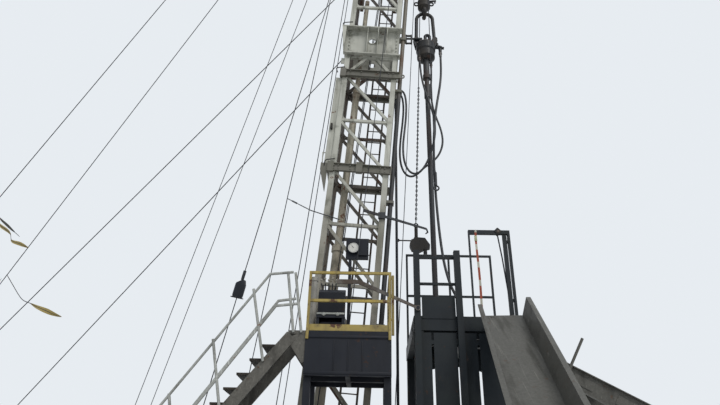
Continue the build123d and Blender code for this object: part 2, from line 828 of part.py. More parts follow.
def swivel():
    """The power swivel: a turned housing with ears, gooseneck, two arms and hose ports."""
    r = swivel_radius
    top = swivel_eye - bail_eye - 25
    z = swivel_bottom
    profile = Polyline((0, z), (r - 110, z), (r - 20, z + 70), (r - 20, z + 250), (r, z + 290),
                       (r, top - 70), (r - 60, top), (0, top), close=True)
    pieces = [Pos(well_x, 0, 0) * revolve(Plane.XZ * make_face(profile), axis=Axis.Z)]
    for side in (-1, 1):
        x = well_x + side * bail_foot
        ear = [(x, swivel_eye, bail_eye - 10), (x - side * 30, top - 90, 60)]
        for y in (-70, 70):
            pieces.append(plate_outline(ear, 40, y))
        pieces.append(rod((x, -80, swivel_eye), (x, 80, swivel_eye), bail_pin))
    neck_z = swivel_top + 20
    reach = 110
    pieces.append(rod((well_x, 0, top - 20), (well_x, 0, neck_z), gooseneck_radius))
    arch = Pos(well_x + reach / 2, 0, neck_z) * Rot(90, 0, 0) * Torus(reach / 2, gooseneck_radius)
    pieces.append(arch & block(well_x - 200, well_x + 300, -100, 100, neck_z, neck_z + 200))
    pieces.append(rod((well_x + reach, 0, top - 20), (well_x + reach, 0, neck_z), gooseneck_radius))
    pieces.append(rod((well_x + reach, 0, top - 20), (well_x + reach, 0, top + 48), gooseneck_radius + 14))
    pieces += swivel_arms()
    return fuse(pieces)


def swivel_arms():
    """The valve arm towards the mast, the outlet arm with its elbow, and the ports below."""
    y = -swivel_arm_side
    z = swivel_top - 160
    tip = well_x - swivel_arm_reach
    root = well_x - 120
    pieces = [rod((tip, y, z), (root, y, z), 26), rod((tip, y, z), (tip + 40, y, z), 40),
              Pos(root, y, z) * Sphere(36), rod((root, y, z), (root, y, z - 200), 34)]
    yoke = (tip + 150, tip + 280)
    for x in yoke:
        pieces.append(block(x - 14, x + 14, y - 30, y + 30, z - 170, z + 120))
    for low, high in ((84, 112), (-168, -144)):
        pieces.append(block(*yoke, y - 24, y + 24, z + low, z + high))
    z = swivel_top - 330
    pieces.append(rod((well_x + 100, 0, z), (well_x + 470, 0, z - 30), 36))
    pieces.append(Pos(well_x + 370, 0, z - 22) * Sphere(62))
    pieces.append(rod((well_x + 300, 0, z + 20), (well_x + 300, 0, z + 126), 34))
    pieces.append(rod((well_x + 370, 0, z), (well_x + 370, 0, swivel_outlet), gooseneck_radius))
    for x, side in hose_ports:
        pieces.append(rod((x, side, swivel_bottom + 300), (x, side, port_end), port_radius))
    return pieces


def rope_circle(radius):
    """The radius at which a line lies in a wheel's groove, just clear of its walls."""
    slant = math.atan2(sheave_width / 2, groove_depth)
    return radius - groove_depth + (fall_radius + fit_gap) / math.sin(slant)


def tangent(centre_a, radius_a, centre_b, radius_b):
    """Both ends of the line that touches two wheels on their +X side, as (x, z) pairs."""
    dx = centre_b[0] - centre_a[0]
    dz = centre_b[1] - centre_a[1]
    distance = math.hypot(dx, dz)
    angle = math.atan2(dz, dx) - math.acos((radius_a - radius_b) / distance)
    unit = (math.cos(angle), math.sin(angle))
    wheels = ((centre_a, radius_a), (centre_b, radius_b))
    return [(c[0] + r * unit[0], c[1] + r * unit[1]) for c, r in wheels]


def make_falls():
    """The lines between the crown sheaves and the block."""
    crown_x, _, crown_z = crown_centre()
    reach = rope_circle(sheave_radius)
    falls = []
    for side in (-1, 1):
        for count in range(4):
            y = (count - 1.5) * sheave_pitch
            low = (well_x + side * rope_circle(block_sheave), y, block_top - sheave_drop)
            falls.append(rod(low, (crown_x + side * reach, y, crown_z), fall_radius))
    save("drilling_falls", falls)


def tube(points, radius):
    """A hose along straight runs joined by arcs as large as the runs allow."""
    radii = []
    for before, here, beyond in zip(points, points[1:], points[2:]):
        first = Vector(*here) - Vector(*before)
        last = Vector(*beyond) - Vector(*here)
        turn = math.radians(first.get_angle(last))
        radii.append(0.45 * min(first.length, last.length) / math.tan(turn / 2))
    path = FilletPolyline(*points, radius=radii)
    hose = sweep(Plane(origin=path @ 0, z_dir=path % 0) * Circle(radius), path=path)
    share = hose.volume / (math.pi * radius * radius * path.length)
    print(f"hose {path.length / 1000:.2f} m, smallest radius {min(radii):.0f}, volume share {share:.4f}")
    return hose


def make_hoses():
    """The two service hoses from the risers to the swivel, and the rotary hose down to the floor."""
    save("hose_left", tube(left_hose_route, service_hose_radius))
    save("hose_right", tube(right_hose_route, service_hose_radius))
    save("rotary_hose", tube(rotary_hose_route, rotary_hose_radius))


def make_fast_lines():
    """The fast and dead lines down to the drum, and the lines that hang from the crown."""
    crown_x, _, crown_z = crown_centre()
    low, high = tangent((drum_x, drum_z), drum_radius + fall_radius + fit_gap,
                        (crown_x, crown_z), rope_circle(sheave_radius))
    place = 2.5 * sheave_pitch
    lines = [rod((low[0], y, low[1]), (high[0], y, high[1]), fall_radius) for y in (-place, place)]
    for top, foot, radius in hanging_lines:
        head = crown_underside(top[0])
        slope = abs(math.tan(math.radians(lean_angle)) - (top[0] - foot[0]) / (head - foot[2]))
        lines.append(rod(foot, (top[0], top[1], head - fit_gap - radius * slope), radius))
    x, y, z = hanging_lines[0][1]
    tool = [rod((x, y, z), (x, y, z - 60), 16), rod((x, y, z - 50), (x, y, z - 370), 34),
            Pos(x + 12, y, z - 440) * Rot(90, 0, 0) * Torus(52, 18)]
    lines[2] = fuse([lines[2]] + tool)
    save("fast_lines", lines)


def crown_underside(x):
    """The height of the crown beams' underside over a place in the world."""
    angle = math.radians(lean_angle)
    return mast_foot + (mast_height - x * math.sin(angle)) / math.cos(angle)


def make_drawworks():
    """The drum between the pedestal's rear posts that takes up the lines."""
    half = pedestal_gap - 22
    drum = [rod((drum_x, -half, drum_z), (drum_x, half, drum_z), drum_radius)]
    for y in (-half, half - 24):
        drum.append(rod((drum_x, y, drum_z), (drum_x, y + 24, drum_z), drum_radius + 130))
    drum.append(rod((drum_x, -half - 20, drum_z), (drum_x, half + 20, drum_z), 50))
    save("line_drum", fuse(drum))
    cheeks = []
    for side in (-1, 1):
        y0, y1 = sorted((side * (half + 2), side * (pedestal_gap - fit_gap)))
        plate = block(drum_x - 150, drum_x + 110, y0, y1, deck_level + 170, mast_foot - 240)
        hole = Pos(drum_x, side * pedestal_gap, drum_z) * Rot(90, 0, 0) * Cylinder(50 + fit_gap, 200)
        cheeks.append(plate - hole)
    save("drum_cheeks", cheeks)


def make_platform():
    """The driller's platform: dark box frame, floor, rails, console and gauge."""
    x0 = platform_x
    x1 = platform_x + platform_width
    y0 = platform_front
    y1 = platform_front + platform_depth
    z1 = platform_level
    z0 = platform_level - platform_fascia
    frame = block(x0, x1, y0, y1, z0, z1)
    frame -= block(x0 + 40, x1 - 40, y0 + 40, y1 - 40, z0 - 10, z1 - 60)
    middle_x = (x0 + x1) / 2
    middle_y = (y0 + y1) / 2
    frame += block(x0 + 40, x1 - 40, middle_y - 40, middle_y + 40, z0, z1 - 40)
    frame += block(middle_x - 40, middle_x + 40, y0 + 40, y1 - 40, z0, z1 - 40)
    save("platform_box", frame)
    legs = []
    for x in (x0 + 60, x1 - 60):
        legs.append(block(x - 60, x + 60, y1 - 130, y1 - 10, deck_level, z0))
        legs.append(block(x - 60, x + 60, y0 + 90, y0 + 210, deck_level, z0))
    save("platform_legs", legs)
    save("platform_rails", platform_rails(x0, x1, y0, y1, z1))
    save("tool_bench", bench(x0 + 150, y0 + 150, z1))
    save("control_console", console(x0 + 130, y0 + 560, z1))
    save("gauge_panel", gauge(x0 + 590, y1 - 90, z1))
    pipe = rod((x0 + 70, y0 + 300, z1), (x0 + 70, y0 + 300, z1 + 1000), 55)
    pipe += rod((x0 + 70, y0 + 300, z1 + 990), (x0 + 70, y0 + 300, z1 + 1060), 68)
    save("air_pipe", pipe)


def platform_rails(x0, x1, y0, y1, level):
    """The yellow front rail with its toe board, and the rail at the right end."""
    post = rail_size / 2
    top = level + rail_height
    middle = level + rail_height * 0.52
    rails = [block(x0, x1, y0, y0 + rail_size, z - rail_size, z) for z in (top, middle)]
    for x in (x0, x1 - rail_size):
        rails.append(block(x, x + rail_size, y0, y0 + rail_size, level, top))
    rails.append(block(x0, x1, y0 + post, y0 + post + toe_thickness, level, level + toe_height))
    side_rails = []
    x = x1 - rail_size
    start = y0 + rail_size + 2
    for z in (top, middle):
        side_rails.append(block(x, x + rail_size, start, y1, z - rail_size, z))
    for y in (start, y1 - rail_size):
        side_rails.append(block(x, x + rail_size, y, y + rail_size, level, top))
    near = y0 + 60
    far = near + rail_size
    side_rails.append(block(x1 - 4, x1 + rail_size + 6, near, far, level + 220, level + 250))
    side_rails.append(block(x1 + 6, x1 + 6 + rail_size, near, far, level - 40, top - 40))
    side_rails.append(block(x1 - 4, x1 + 20, near, far, top - 110, top - 60))
    return [fuse(rails), fuse(side_rails)]


def bench(x, y, level):
    """A low bench with a bright lip and two feet."""
    length, depth, height = bench_size
    top = block(x, x + length, y, y + depth, level + height - 40, level + height)
    shelf = block(x + 20, x + length - 20, y + 20, y + depth - 20, level + 60, level + 90)
    feet = [block(a, a + 50, y, y + depth, level, level + height - 30) for a in (x, x + length - 50)]
    lip = block(x, x + length, y - 14, y + 6, level + height - 60, level + height + 30)
    return fuse([top, shelf, lip] + feet)


def console(x, y, level):
    """The control stand: a sloping box on a foot, with a row of valve levers."""
    depth = console_depth
    side = Polyline((0, 0), (depth, 0), (depth, 1000), (depth - 90, 1000), (0, 880), close=True)
    body = Pos(x, y, level) * extrude(Plane.YZ * make_face(side), amount=console_length)
    levers = []
    for count in range(console_levers):
        place = x + 45 + count * 62
        foot = (place, y + depth - 70, level + 985)
        top = (place - 25 + 10 * count, y + depth - 130, level + 1180 + 30 * (count % 2))
        levers += [rod(foot, top, 11), Pos(*top) * Sphere(22)]
    return fuse([body] + levers)


def gauge(x, y, level):
    """The weight gauge: a panel on its stand, with a rimmed round dial and a box in front."""
    low = level + gauge_low
    high = level + gauge_high
    panel = block(x, x + gauge_width, y - 30, y + 30, low, high)
    panel += block(x + 60, x + 120, y - 20, y + 20, level, low + 10)
    dial = Pos(x + dial_place, y - 45, level + dial_level) * Rot(90, 0, 0)
    panel += dial * Cylinder(dial_radius, 50)
    rim = Cylinder(dial_radius, 30) - Cylinder(dial_radius - dial_rim, 80)
    panel += dial * Pos(0, 0, 25) * rim
    panel += block(x + 250, x + 420, y - 60, y, low + 70, high - 70)
    return panel


def make_lever():
    """The long brake lever on its pin, carried by the work floor's corner post."""
    x, y, z = lever_pivot
    half = paddle_height / 2
    hub = Pos(x, y, z) * Rot(90, 0, 0) * Cylinder(lever_hub, lever_thickness)
    outline = Polyline((paddle_start, paddle_level - half), (paddle_start, paddle_level + half),
                       (paddle_end - 60, paddle_level + half), (paddle_end + 40, paddle_level + 26),
                       (x, z + 26), (x, z - 26), (paddle_end, paddle_level - half), close=True)
    blade = extrude(Plane.XZ.offset(-y) * make_face(outline), amount=11, both=True)
    lever = blade + hub
    lever -= Pos(x, y, z) * Rot(90, 0, 0) * Cylinder(pin_radius + pin_gap, 200)
    save("brake_lever", lever)
    back = -floor_half - post_gap - post_size
    front = y - lever_thickness / 2 - fit_gap
    pin = rod((x, back, z), (x, front - 12, z), pin_radius)
    pin += rod((x, front, z), (x, front - 12, z), pin_radius + 14)
    pin += rod((x, back, z), (x, y + lever_thickness / 2 + fit_gap, z), pin_radius + 16)
    save("lever_pin", pin)


def make_floor():
    """The work floor on four columns, with the well opening in its plate."""
    x0 = floor_x
    x1 = floor_x + floor_width
    half = floor_half
    z1 = floor_level - floor_plate
    z0 = z1 - floor_beam
    well = block(well_x - well_opening / 2, well_x + well_opening / 2, -well_opening / 2, well_opening / 2,
                 z0 - 20, z1 + 40)
    frame = block(x0, x1, -half, half, z0, z1)
    bay = floor_width / 2 - frame_edge
    for i, j in ((0, 0), (0, 1), (1, 0), (1, 1)):
        xa = x0 + frame_edge + i * (bay + frame_rib)
        ya = -half + frame_edge + j * (half - frame_rib)
        frame -= block(xa, xa + bay - frame_rib, ya, ya + half - frame_edge - frame_rib,
                       z0 - 10, z1 + 10)
    frame -= well
    save("floor_frame", frame)
    plate = block(x0, x1, -half, half, z1, floor_level) - well
    x = manifold_x
    y = manifold_y
    plate += rod((x, y, floor_level - 5), (x, y, rotary_foot - fit_gap), 52)
    plate += rod((x, y, floor_level + 70), (x + 260, y, floor_level + 70), 38)
    save("floor_plate", plate)
    save("floor_columns", floor_columns(x0, x1, half, z0))
    y1 = -half - post_gap
    posts = [block(x, x + post_size, y1 - post_size, y1, deck_level, post_top) for x in post_places]
    save("front_posts", posts)
    rails = []
    for side in (-1, 1):
        y = side * (half - 30)
        span = (x0 + 20, door_left - 200) if side < 0 else (x0 + 20, x1 - 20)
        height = floor_rail_height if side < 0 else back_rail_height
        rails.append(rail_run(span[0], span[1], y, floor_level, height))
    save("floor_rails", rails)
    front = -half - fit_gap
    foot = floor_level - 50
    panel = block(x0 + 150, post_places[1] - 10, front - 12, front, foot, foot + panel_height)
    save("toe_panel", panel)
    save("floor_screens", floor_screens(x0, x1, half, z0))


def floor_columns(x0, x1, half, top):
    """Four columns, each side pair joined by a haunched beam under the floor."""
    columns = []
    reach = column_size / 2
    for side in (-1, 1):
        y = side * (half - column_inset)
        left = x0 + column_inset
        right = x1 - column_inset
        pair = [block(x - reach, x + reach, y - reach, y + reach, deck_level, top) for x in (left, right)]
        arch = block(left, right, y - 20, y + 20, top - 330, top - fit_gap)
        middle = (left + right) / 2
        span = right - left - column_size
        drop = 210
        bow = (span * span / 4 + drop * drop) / (2 * drop)
        arch -= Pos(middle, y, top - 120 - bow) * Rot(90, 0, 0) * Cylinder(bow, 200)
        pair.append(arch)
        pair.append(bar((left, y, deck_level + 60), (right, y, top - 700), 40, 60))
        columns.append(fuse(pair))
    return columns


def floor_screens(x0, x1, half, top):
    """Upright panels under the floor's near edge, on two bars across the columns."""
    back = column_inset - half - column_size / 2 - fit_gap - 0.5
    panels = []
    x = x0
    for width in screen_widths:
        panels.append(block(x, x + width, back - 9, back - 4, screen_foot, top - 40))
        x += width + screen_gap
    for z in (screen_foot + 120, top - 240):
        panels.append(block(x0 + 10, x1 - 10, back - 5, back, z, z + 70))
    return fuse(panels)


def rail_run(start, end, y, level, height, size=44):
    """A straight guard rail along X: posts, mid rail and top rail."""
    pieces = []
    count = max(2, round((end - start) / 900) + 1)
    for number in range(count):
        x = start + (end - start - size) * number / (count - 1)
        pieces.append(block(x, x + size, y - size / 2, y + size / 2, level, level + height))
    for z in (height, height * 0.55):
        pieces.append(block(start, end, y - size / 2, y + size / 2, level + z - size, level + z))
    return fuse(pieces)


def make_door_and_slide():
    """The door frame on the floor's near edge and the pipe slide that comes up to it."""
    y = -floor_half + 60
    z0 = floor_level
    z1 = floor_level + door_height
    x0 = door_left
    x1 = door_left + door_width
    tube = door_tube
    deep = tube / 2
    leaf = x1 - tube - 66
    frame = [block(x0, x0 + 26, y - deep, y + deep, z0, z1),
             block(x0, x1, y - deep, y + deep, z1 - tube, z1),
             block(x1 - 44, x1, y - deep, y + deep, z0, z1),
             block(leaf, leaf + tube, y - 24, y + 24, z0, z1 - 90)]
    for z in (z0 + 300, z1 - 260):
        frame.append(block(leaf + 40, x1 - 20, y - 12, y + 12, z, z + 60))
    strap = [(leaf - 90, y, z1 - 60), (leaf - 40, y, z1 - 560), (leaf + 20, y, z0 + 330)]
    frame.append(rod(strap[0], strap[1], 13))
    frame.append(rod(strap[1], strap[2], 13))
    frame.append(Pos(*strap[1]) * Sphere(13))
    save("door_frame", fuse(frame))
    above_ground = block(-cut_reach, cut_reach, -cut_reach, 0, 0, cut_reach)
    slide = (slide_place() * trough()) & above_ground
    for reach in slide_hooks:
        x = door_left + reach
        slide += block(x, x + 60, -floor_half - slide_gap - 60, -floor_half - fit_gap,
                       floor_level - 190, floor_level - 70)
    save("pipe_slide", slide)


def slide_place():
    """The slide's top edge, its turn and its slope."""
    edge = Pos(door_left + door_width / 2 + slide_shift, -floor_half - slide_gap, floor_level - 40)
    return edge * Rot(0, 0, slide_turn) * Rot(slide_angle - 90, 0, 0)


def trough():
    """An open channel along its own -Z: plate, two leaning walls with flanges, open towards -Y."""
    half = slide_width / 2
    flare = 60
    low = -slide_wall
    high = -slide_high_wall
    t = slide_plate
    wide = half + flare
    edge = wide + slide_flange
    outline = Polyline((-half, 0), (half, 0), (wide, high), (edge, high), (edge, high - t),
                       (wide - t, high - t), (half - t, -t), (-half + t, -t), (-wide + t, low - t),
                       (-edge, low - t), (-edge, low), (-wide, low), close=True)
    return extrude(Plane.XY * make_face(outline), amount=-slide_length)


def make_left_stair():
    """The steep stair at the platform's left end, with its landing and its near handrail."""
    angle = math.radians(stair_angle)
    edge = platform_x - fit_gap
    top = edge - landing_length
    run = platform_level / math.tan(angle)
    drop = stringer_depth / 2 / math.cos(angle)
    level = platform_level
    half = stringer_thickness / 2
    flight = [block(top, edge, stair_front - half, stair_front + stair_width + half, level - 60, level)]
    for y in (stair_front, stair_front + stair_width):
        start = (top + 60, y, level - drop + 60 * math.tan(angle))
        end = (top - run, y, -drop)
        stringer = bar(start, end, stringer_thickness, stringer_depth)
        flight.append(stringer & block(-cut_reach, edge, y - 200, y + 200, 0, level - 2))
        corners = [(edge - 60, level - 90, 60), (edge - 30, level - 510, 30), (top + 110, level - 180, 90)]
        flight.append(plate_outline(corners, stringer_thickness - 8, y))
    save("left_stair_stringers", fuse(flight))
    treads = []
    count = int(platform_level // tread_rise) - 1
    for number in range(1, count + 1):
        z = level - number * tread_rise
        x = top - number * tread_rise / math.tan(angle)
        treads.append(block(x - tread_depth, x, stair_front + half, stair_front + stair_width - half,
                            z - 36, z))
    save("left_stair_treads", treads)
    save("left_stair_rails", stair_rails(top, run, angle))


def stair_rails(top, run, angle):
    """The near handrail: two posts at the landing, leaning posts down the flight, three rails."""
    r = stair_rail_radius
    y = stair_front - stringer_thickness / 2 - r - fit_gap
    slope = math.tan(math.radians(rail_angle))
    rails = []
    for level, start, bend in stair_rail_runs:
        foot = top - run - 40
        low = level - 45 + slope * (foot - top - bend)
        points = [(top + start, y, level), (top + bend, y, level - 45), (foot, y, low)]
        rails.append(rod(points[0], points[1], r))
        rails.append(Pos(*points[1]) * Sphere(r))
        rails.append(rod(points[1], points[2], r - 2))
    lean = math.tan(math.radians(post_lean))
    for x, height in landing_posts:
        z = platform_level - 40
        rails.append(rod((top + x, y, z), (top + x - 0.16 * height, y, z + height), r))
    for number in range(stair_post_count):
        x = top - 380 - number * stair_post_pitch
        z = platform_level - 60 + (x - top) * math.tan(angle)
        head = 5300 + slope * (x - 215 - top + 400)
        rails.append(rod((x, y, z), (x - lean * (head - z), y, head), r))
    return fuse(rails)


def make_right_stair():
    """The galvanised stair at the work floor's right end: channel stringers, treads and a rail stub."""
    angle = math.radians(right_stair_angle)
    place = Pos(floor_x + floor_width + fit_gap + 60, -floor_half - 100, 0) * Rot(0, 0, right_stair_turn)
    drop = right_beam_depth / 2 / math.cos(angle)
    high = right_stair_head
    slope = math.tan(angle)
    run = high / slope
    bracket = block(floor_x + floor_width - 10 + fit_gap, floor_x + floor_width + 130, -floor_half + 20,
                    -floor_half + 160, high - 260, high - 40)
    flight = [bracket, place * block(-10, 40, -6, right_stair_width + 6, high - 300, high)]
    for number, y in enumerate((0, right_stair_width)):
        side = -1 if number == 0 else 1
        keep = block(0, cut_reach, y - 200, y + 200, 0, high)
        web = bar((-400, y, high - drop + 400 * slope), (run + 400, y, -drop - 400 * slope),
                  12, right_beam_depth)
        pieces = [web & keep]
        for reach in (-1, 1):
            lift = -drop + reach * (drop - 8 / math.cos(angle))
            flange_y = y + side * 31
            flange = bar((-400, flange_y, high + lift + 400 * slope),
                         (run + 400, flange_y, lift - 400 * slope), 62, 16)
            pieces.append(flange & keep)
        for along in (560, 1180):
            z = high - drop - along * slope
            plate_y = y + side * 11
            pieces.append(bar((along, plate_y, z), (along + 300, plate_y, z - 300 * slope), 12, 150))
        if number == 0:
            z = high - stub_place * slope - 100
            stub = rod((stub_place, -36, z - 60), (stub_place + 310, -36, z + 500), 24)
            stub += rod((stub_place, -36, z - 60), (stub_place + 60, -36, z + 50), 36)
            pieces.append(stub)
        flight.append(place * fuse(pieces))
    solids = [fuse(flight)]
    step = right_tread_rise / slope
    count = int(high // right_tread_rise)
    for number in range(2, count):
        x = number * step
        z = high - number * right_tread_rise
        tread = block(x - step * 0.75, x, 6 + fit_gap, right_stair_width - 6 - fit_gap, z - 34, z)
        solids.append(place * tread)
    save("right_stair", solids)


def make_tong():
    """The pipe tong beside the string, on its hanger, with its snub bar."""
    x = tong_x
    y = tong_y
    low = tong_low
    high = tong_high
    body = block(x, x + 250, y - 60, y + 60, low, high)
    body += Pos(x + 125, y, (low + high) / 2) * Rot(90, 0, 0) * Cylinder(165, 120)
    jaw = Polyline((x + 160, low), (x + 400, low + 50), (x + 405, low + 140), (x + 300, high + 40),
                   (x + 60, high + 55), close=True)
    body += extrude(Plane.XZ.offset(-y) * make_face(jaw), amount=50, both=True)
    body += rod((x + 300, y, low - 80), (x + 300, y, low + 120), 42)
    body += rod((x + 110, y, high), (x + 112, y, high + 90), 30)
    hanger = rod((x + 110, y, high + 80), (x + 112, y, tong_eye - 32), 38)
    hanger += Pos(x + 110, y, tong_eye) * Rot(90, 0, 0) * Torus(44, 14)
    hanger += rod((x + 110, y, tong_eye + 38), (x + 110, y, tong_eye + 67), 12)
    snub = rod((snub_x, y, snub_level), (x + 60, y, snub_level - 5), 15)
    snub += rod((snub_x, y - 40, snub_level), (snub_x, y + 40, snub_level), 22)
    save("power_tong", fuse([body, hanger, snub]))


def make_hook_arm():
    """The tapering bar with a hooked end, clamped across the mast's near right leg."""
    y = -lower_side - leg_size / 2 - 34
    start = Vector(hook_arm_start[0], y, hook_arm_start[1])
    end = Vector(hook_arm_end[0], y, hook_arm_end[1])
    bend = (hook_arm_bend[0], y, hook_arm_bend[1])
    tip = (hook_arm_tip[0], y, hook_arm_tip[1])
    along = (end - start).normalized()
    across = Vector(-along.Z, 0, along.X)
    a0 = start - across * 30
    a1 = start + across * 30
    b0 = end - across * 17
    b1 = end + across * 17
    outline = Polyline(*[(p.X, p.Z) for p in (a0, b0, b1, a1)], close=True)
    arm = extrude(Plane.XZ.offset(-y) * make_face(outline), amount=16, both=True)
    arm += rod(tuple(end), bend, 17)
    arm += rod(bend, tip, 14)
    arm += Pos(*bend) * Sphere(17)
    grip = start + along * hook_arm_grip
    x, _, z = grip
    face = -lower_side - leg_size / 2 - fit_gap
    arm += block(x - 75, x + 75, y - 26, face, z - 70, z + 70)
    save("hook_arm", arm)


def make_guys():
    """Taut guys from their lugs on the mast to their anchors, and the lines from the crown's tail."""
    lines = []
    anchors = []
    for x, y, height, foot in guy_routes:
        top = Vector(*mast_point(x - lug_reach + 18, y, height))
        start = line_foot(foot, top)
        seat = leaning(block(x - lug_reach - fit_gap, x, y - lug_thickness / 2 - fit_gap,
                             y + lug_thickness / 2 + fit_gap, height - lug_drop - fit_gap, height + 60))
        line = rod(start, top, guy_radius)
        if height == escape_lug:
            middle = start + (top - start) * 0.3
            reach = (top - start).normalized() * 110
            line += rod(middle - reach, middle + reach, 36)
        lines.append(line - seat)
        anchors.append(Pos(foot[0], foot[1], anchor_height / 2) * Cylinder(anchor_radius, anchor_height))
    for y, foot in tail_routes:
        top = Vector(*mast_point(-upper_width / 2 - crown_tail - guy_radius - fit_gap, y, mast_height + 90))
        start = line_foot(foot, top)
        line = rod(start, top, guy_radius)
        if foot == tail_routes[0][1]:
            line += tie_rope(start + (top - start) * tie_share)
        lines.append(line)
        anchors.append(Pos(foot[0], foot[1], anchor_height / 2) * Cylinder(anchor_radius, anchor_height))
    save("guy_lines", lines)
    save("guy_anchors", anchors)


def line_foot(foot, top):
    """The centre of a line's lower end, just above its anchor's flat top."""
    low = Vector(foot[0], foot[1], anchor_height)
    slope = (top - low).normalized()
    return low + Vector(0, 0, guy_radius * math.hypot(slope.X, slope.Y) + fit_gap)


def tie_rope(head):
    """The rope that pulls the first crown line in to the mast's near side, thick where it is wrapped."""
    rope = []
    points = [tuple(head)] + tie_route
    for start, end in zip(points, points[1:]):
        rope.append(rod(start, end, guy_radius))
        rope.append(Pos(*end) * Sphere(guy_radius))
    bend = Vector(*tie_route[0])
    wrap = (head - bend).normalized()
    rope.append(rod(bend + wrap * 1700, bend + wrap * 2300, guy_radius + 9))
    return fuse(rope)


make_base()
make_pedestal()
make_mast_lower()
make_mast_upper()
make_crown()
make_mast_fittings()
make_risers()
make_travelling_gear()
make_hoses()
make_falls()
make_fast_lines()
make_drawworks()
make_platform()
make_lever()
make_floor()
make_door_and_slide()
make_left_stair()
make_right_stair()
make_tong()
make_hook_arm()
make_guys()
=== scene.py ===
"""Looks of a guyed workover rig: finishes, ropes, hoses, bolts, gauge face, stage and camera."""

from contextlib import contextmanager
from math import cos, pi, radians, sin, tau

import bmesh
import bpy
from mathutils import Matrix, Vector


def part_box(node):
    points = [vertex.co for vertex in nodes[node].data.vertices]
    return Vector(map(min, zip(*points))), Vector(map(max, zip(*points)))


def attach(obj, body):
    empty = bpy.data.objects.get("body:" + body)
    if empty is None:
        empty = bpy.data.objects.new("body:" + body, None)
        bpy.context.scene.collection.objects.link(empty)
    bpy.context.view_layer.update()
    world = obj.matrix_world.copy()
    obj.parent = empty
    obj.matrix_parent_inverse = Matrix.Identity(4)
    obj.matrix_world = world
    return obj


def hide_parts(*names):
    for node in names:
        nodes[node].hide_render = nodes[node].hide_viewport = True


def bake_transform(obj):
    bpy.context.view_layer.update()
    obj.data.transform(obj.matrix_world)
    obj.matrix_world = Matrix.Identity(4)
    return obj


bl_info = {
    "name": "Workover Rig",
    "version": (1, 0, 0),
    "blender": (4, 5, 0),
    "location": "3D View > Sidebar > Rig",
    "description": "Dresses a leaning lattice mast with its hoses, ropes, platform and work floor",
    "category": "Object",
}

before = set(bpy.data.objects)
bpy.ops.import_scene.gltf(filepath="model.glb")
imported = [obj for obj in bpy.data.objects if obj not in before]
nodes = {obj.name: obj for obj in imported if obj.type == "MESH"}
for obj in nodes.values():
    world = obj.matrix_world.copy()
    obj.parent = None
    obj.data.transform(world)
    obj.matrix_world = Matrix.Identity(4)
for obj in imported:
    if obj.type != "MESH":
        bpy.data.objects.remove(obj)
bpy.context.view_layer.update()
finishes = {}

LEAN = radians(4.03)
MAST_FOOT = 1.2
WELL_X = 2.1
SMOOTH_ANGLE = radians(40)
# The way that lines run from the rig's front into it.
INWARD = (0, 1, 0)
OUTWARD = (0, -1, 0)


def mast_point(x, y, height):
    """A place on the leaning mast, from its own width, depth and height."""
    return Vector((x * cos(LEAN) + height * sin(LEAN), y,
                   MAST_FOOT - x * sin(LEAN) + height * cos(LEAN)))


def seat(name, start, direction):
    """Where a straight line first meets a carried-over piece, and the way its surface faces there."""
    hit, place, normal, _ = nodes[name].ray_cast(Vector(start), Vector(direction))
    if not hit:
        raise RuntimeError(f"nothing of {name} on the line from {tuple(start)}")
    return place, normal


def standing(place, direction):
    """The matrix that takes the origin to a place and +Z to a direction."""
    turn = Vector((0, 0, 1)).rotation_difference(Vector(direction).normalized())
    return Matrix.Translation(place) @ turn.to_matrix().to_4x4()


def turn_by(degrees, axis="Z"):
    """The matrix of a turn round an axis."""
    return Matrix.Rotation(radians(degrees), 4, axis)


def seated(name, start, direction):
    """The place of a bolt on a carried-over piece's surface."""
    return standing(*seat(name, start, direction))


# Finishes

class Wire:
    """A socket of a node tree; sums and products on it add Math nodes."""

    def __init__(self, tree, socket):
        self.tree = tree
        self.socket = socket

    def __add__(self, other):
        return self.tree.math("ADD", self, other)

    __radd__ = __add__

    def __sub__(self, other):
        return self.tree.math("SUBTRACT", self, other)

    def __rsub__(self, other):
        return self.tree.math("SUBTRACT", other, self)

    def __mul__(self, other):
        return self.tree.math("MULTIPLY", self, other)

    __rmul__ = __mul__

    def largest(self, other):
        """The larger of two values."""
        return self.tree.math("MAXIMUM", self, other)


class Tree:
    """The node tree of a material or a world, with one way to add a node."""

    def __init__(self, owner):
        owner.use_nodes = True
        self.nodes = owner.node_tree.nodes
        self.links = owner.node_tree.links

    def node(self, kind, values, output=0, **settings):
        """Adds a shader node, sets it up, feeds its sockets and gives back one output."""
        made = self.nodes.new("ShaderNode" + kind)
        for key, value in settings.items():
            setattr(made, key, value)
        for key, value in values.items():
            self.feed(made.inputs[key], value)
        return Wire(self, made.outputs[output])

    def math(self, operation, first, second=0.0):
        """One Math node on one or two values."""
        return self.node("Math", {0: first, 1: second}, operation=operation)

    def feed(self, socket, value):
        """Links a wire to a socket, or sets its number, vector or colour."""
        if isinstance(value, Wire):
            self.links.new(value.socket, socket)
        elif socket.type == "RGBA":
            socket.default_value = (*value, 1.0)
        else:
            socket.default_value = value


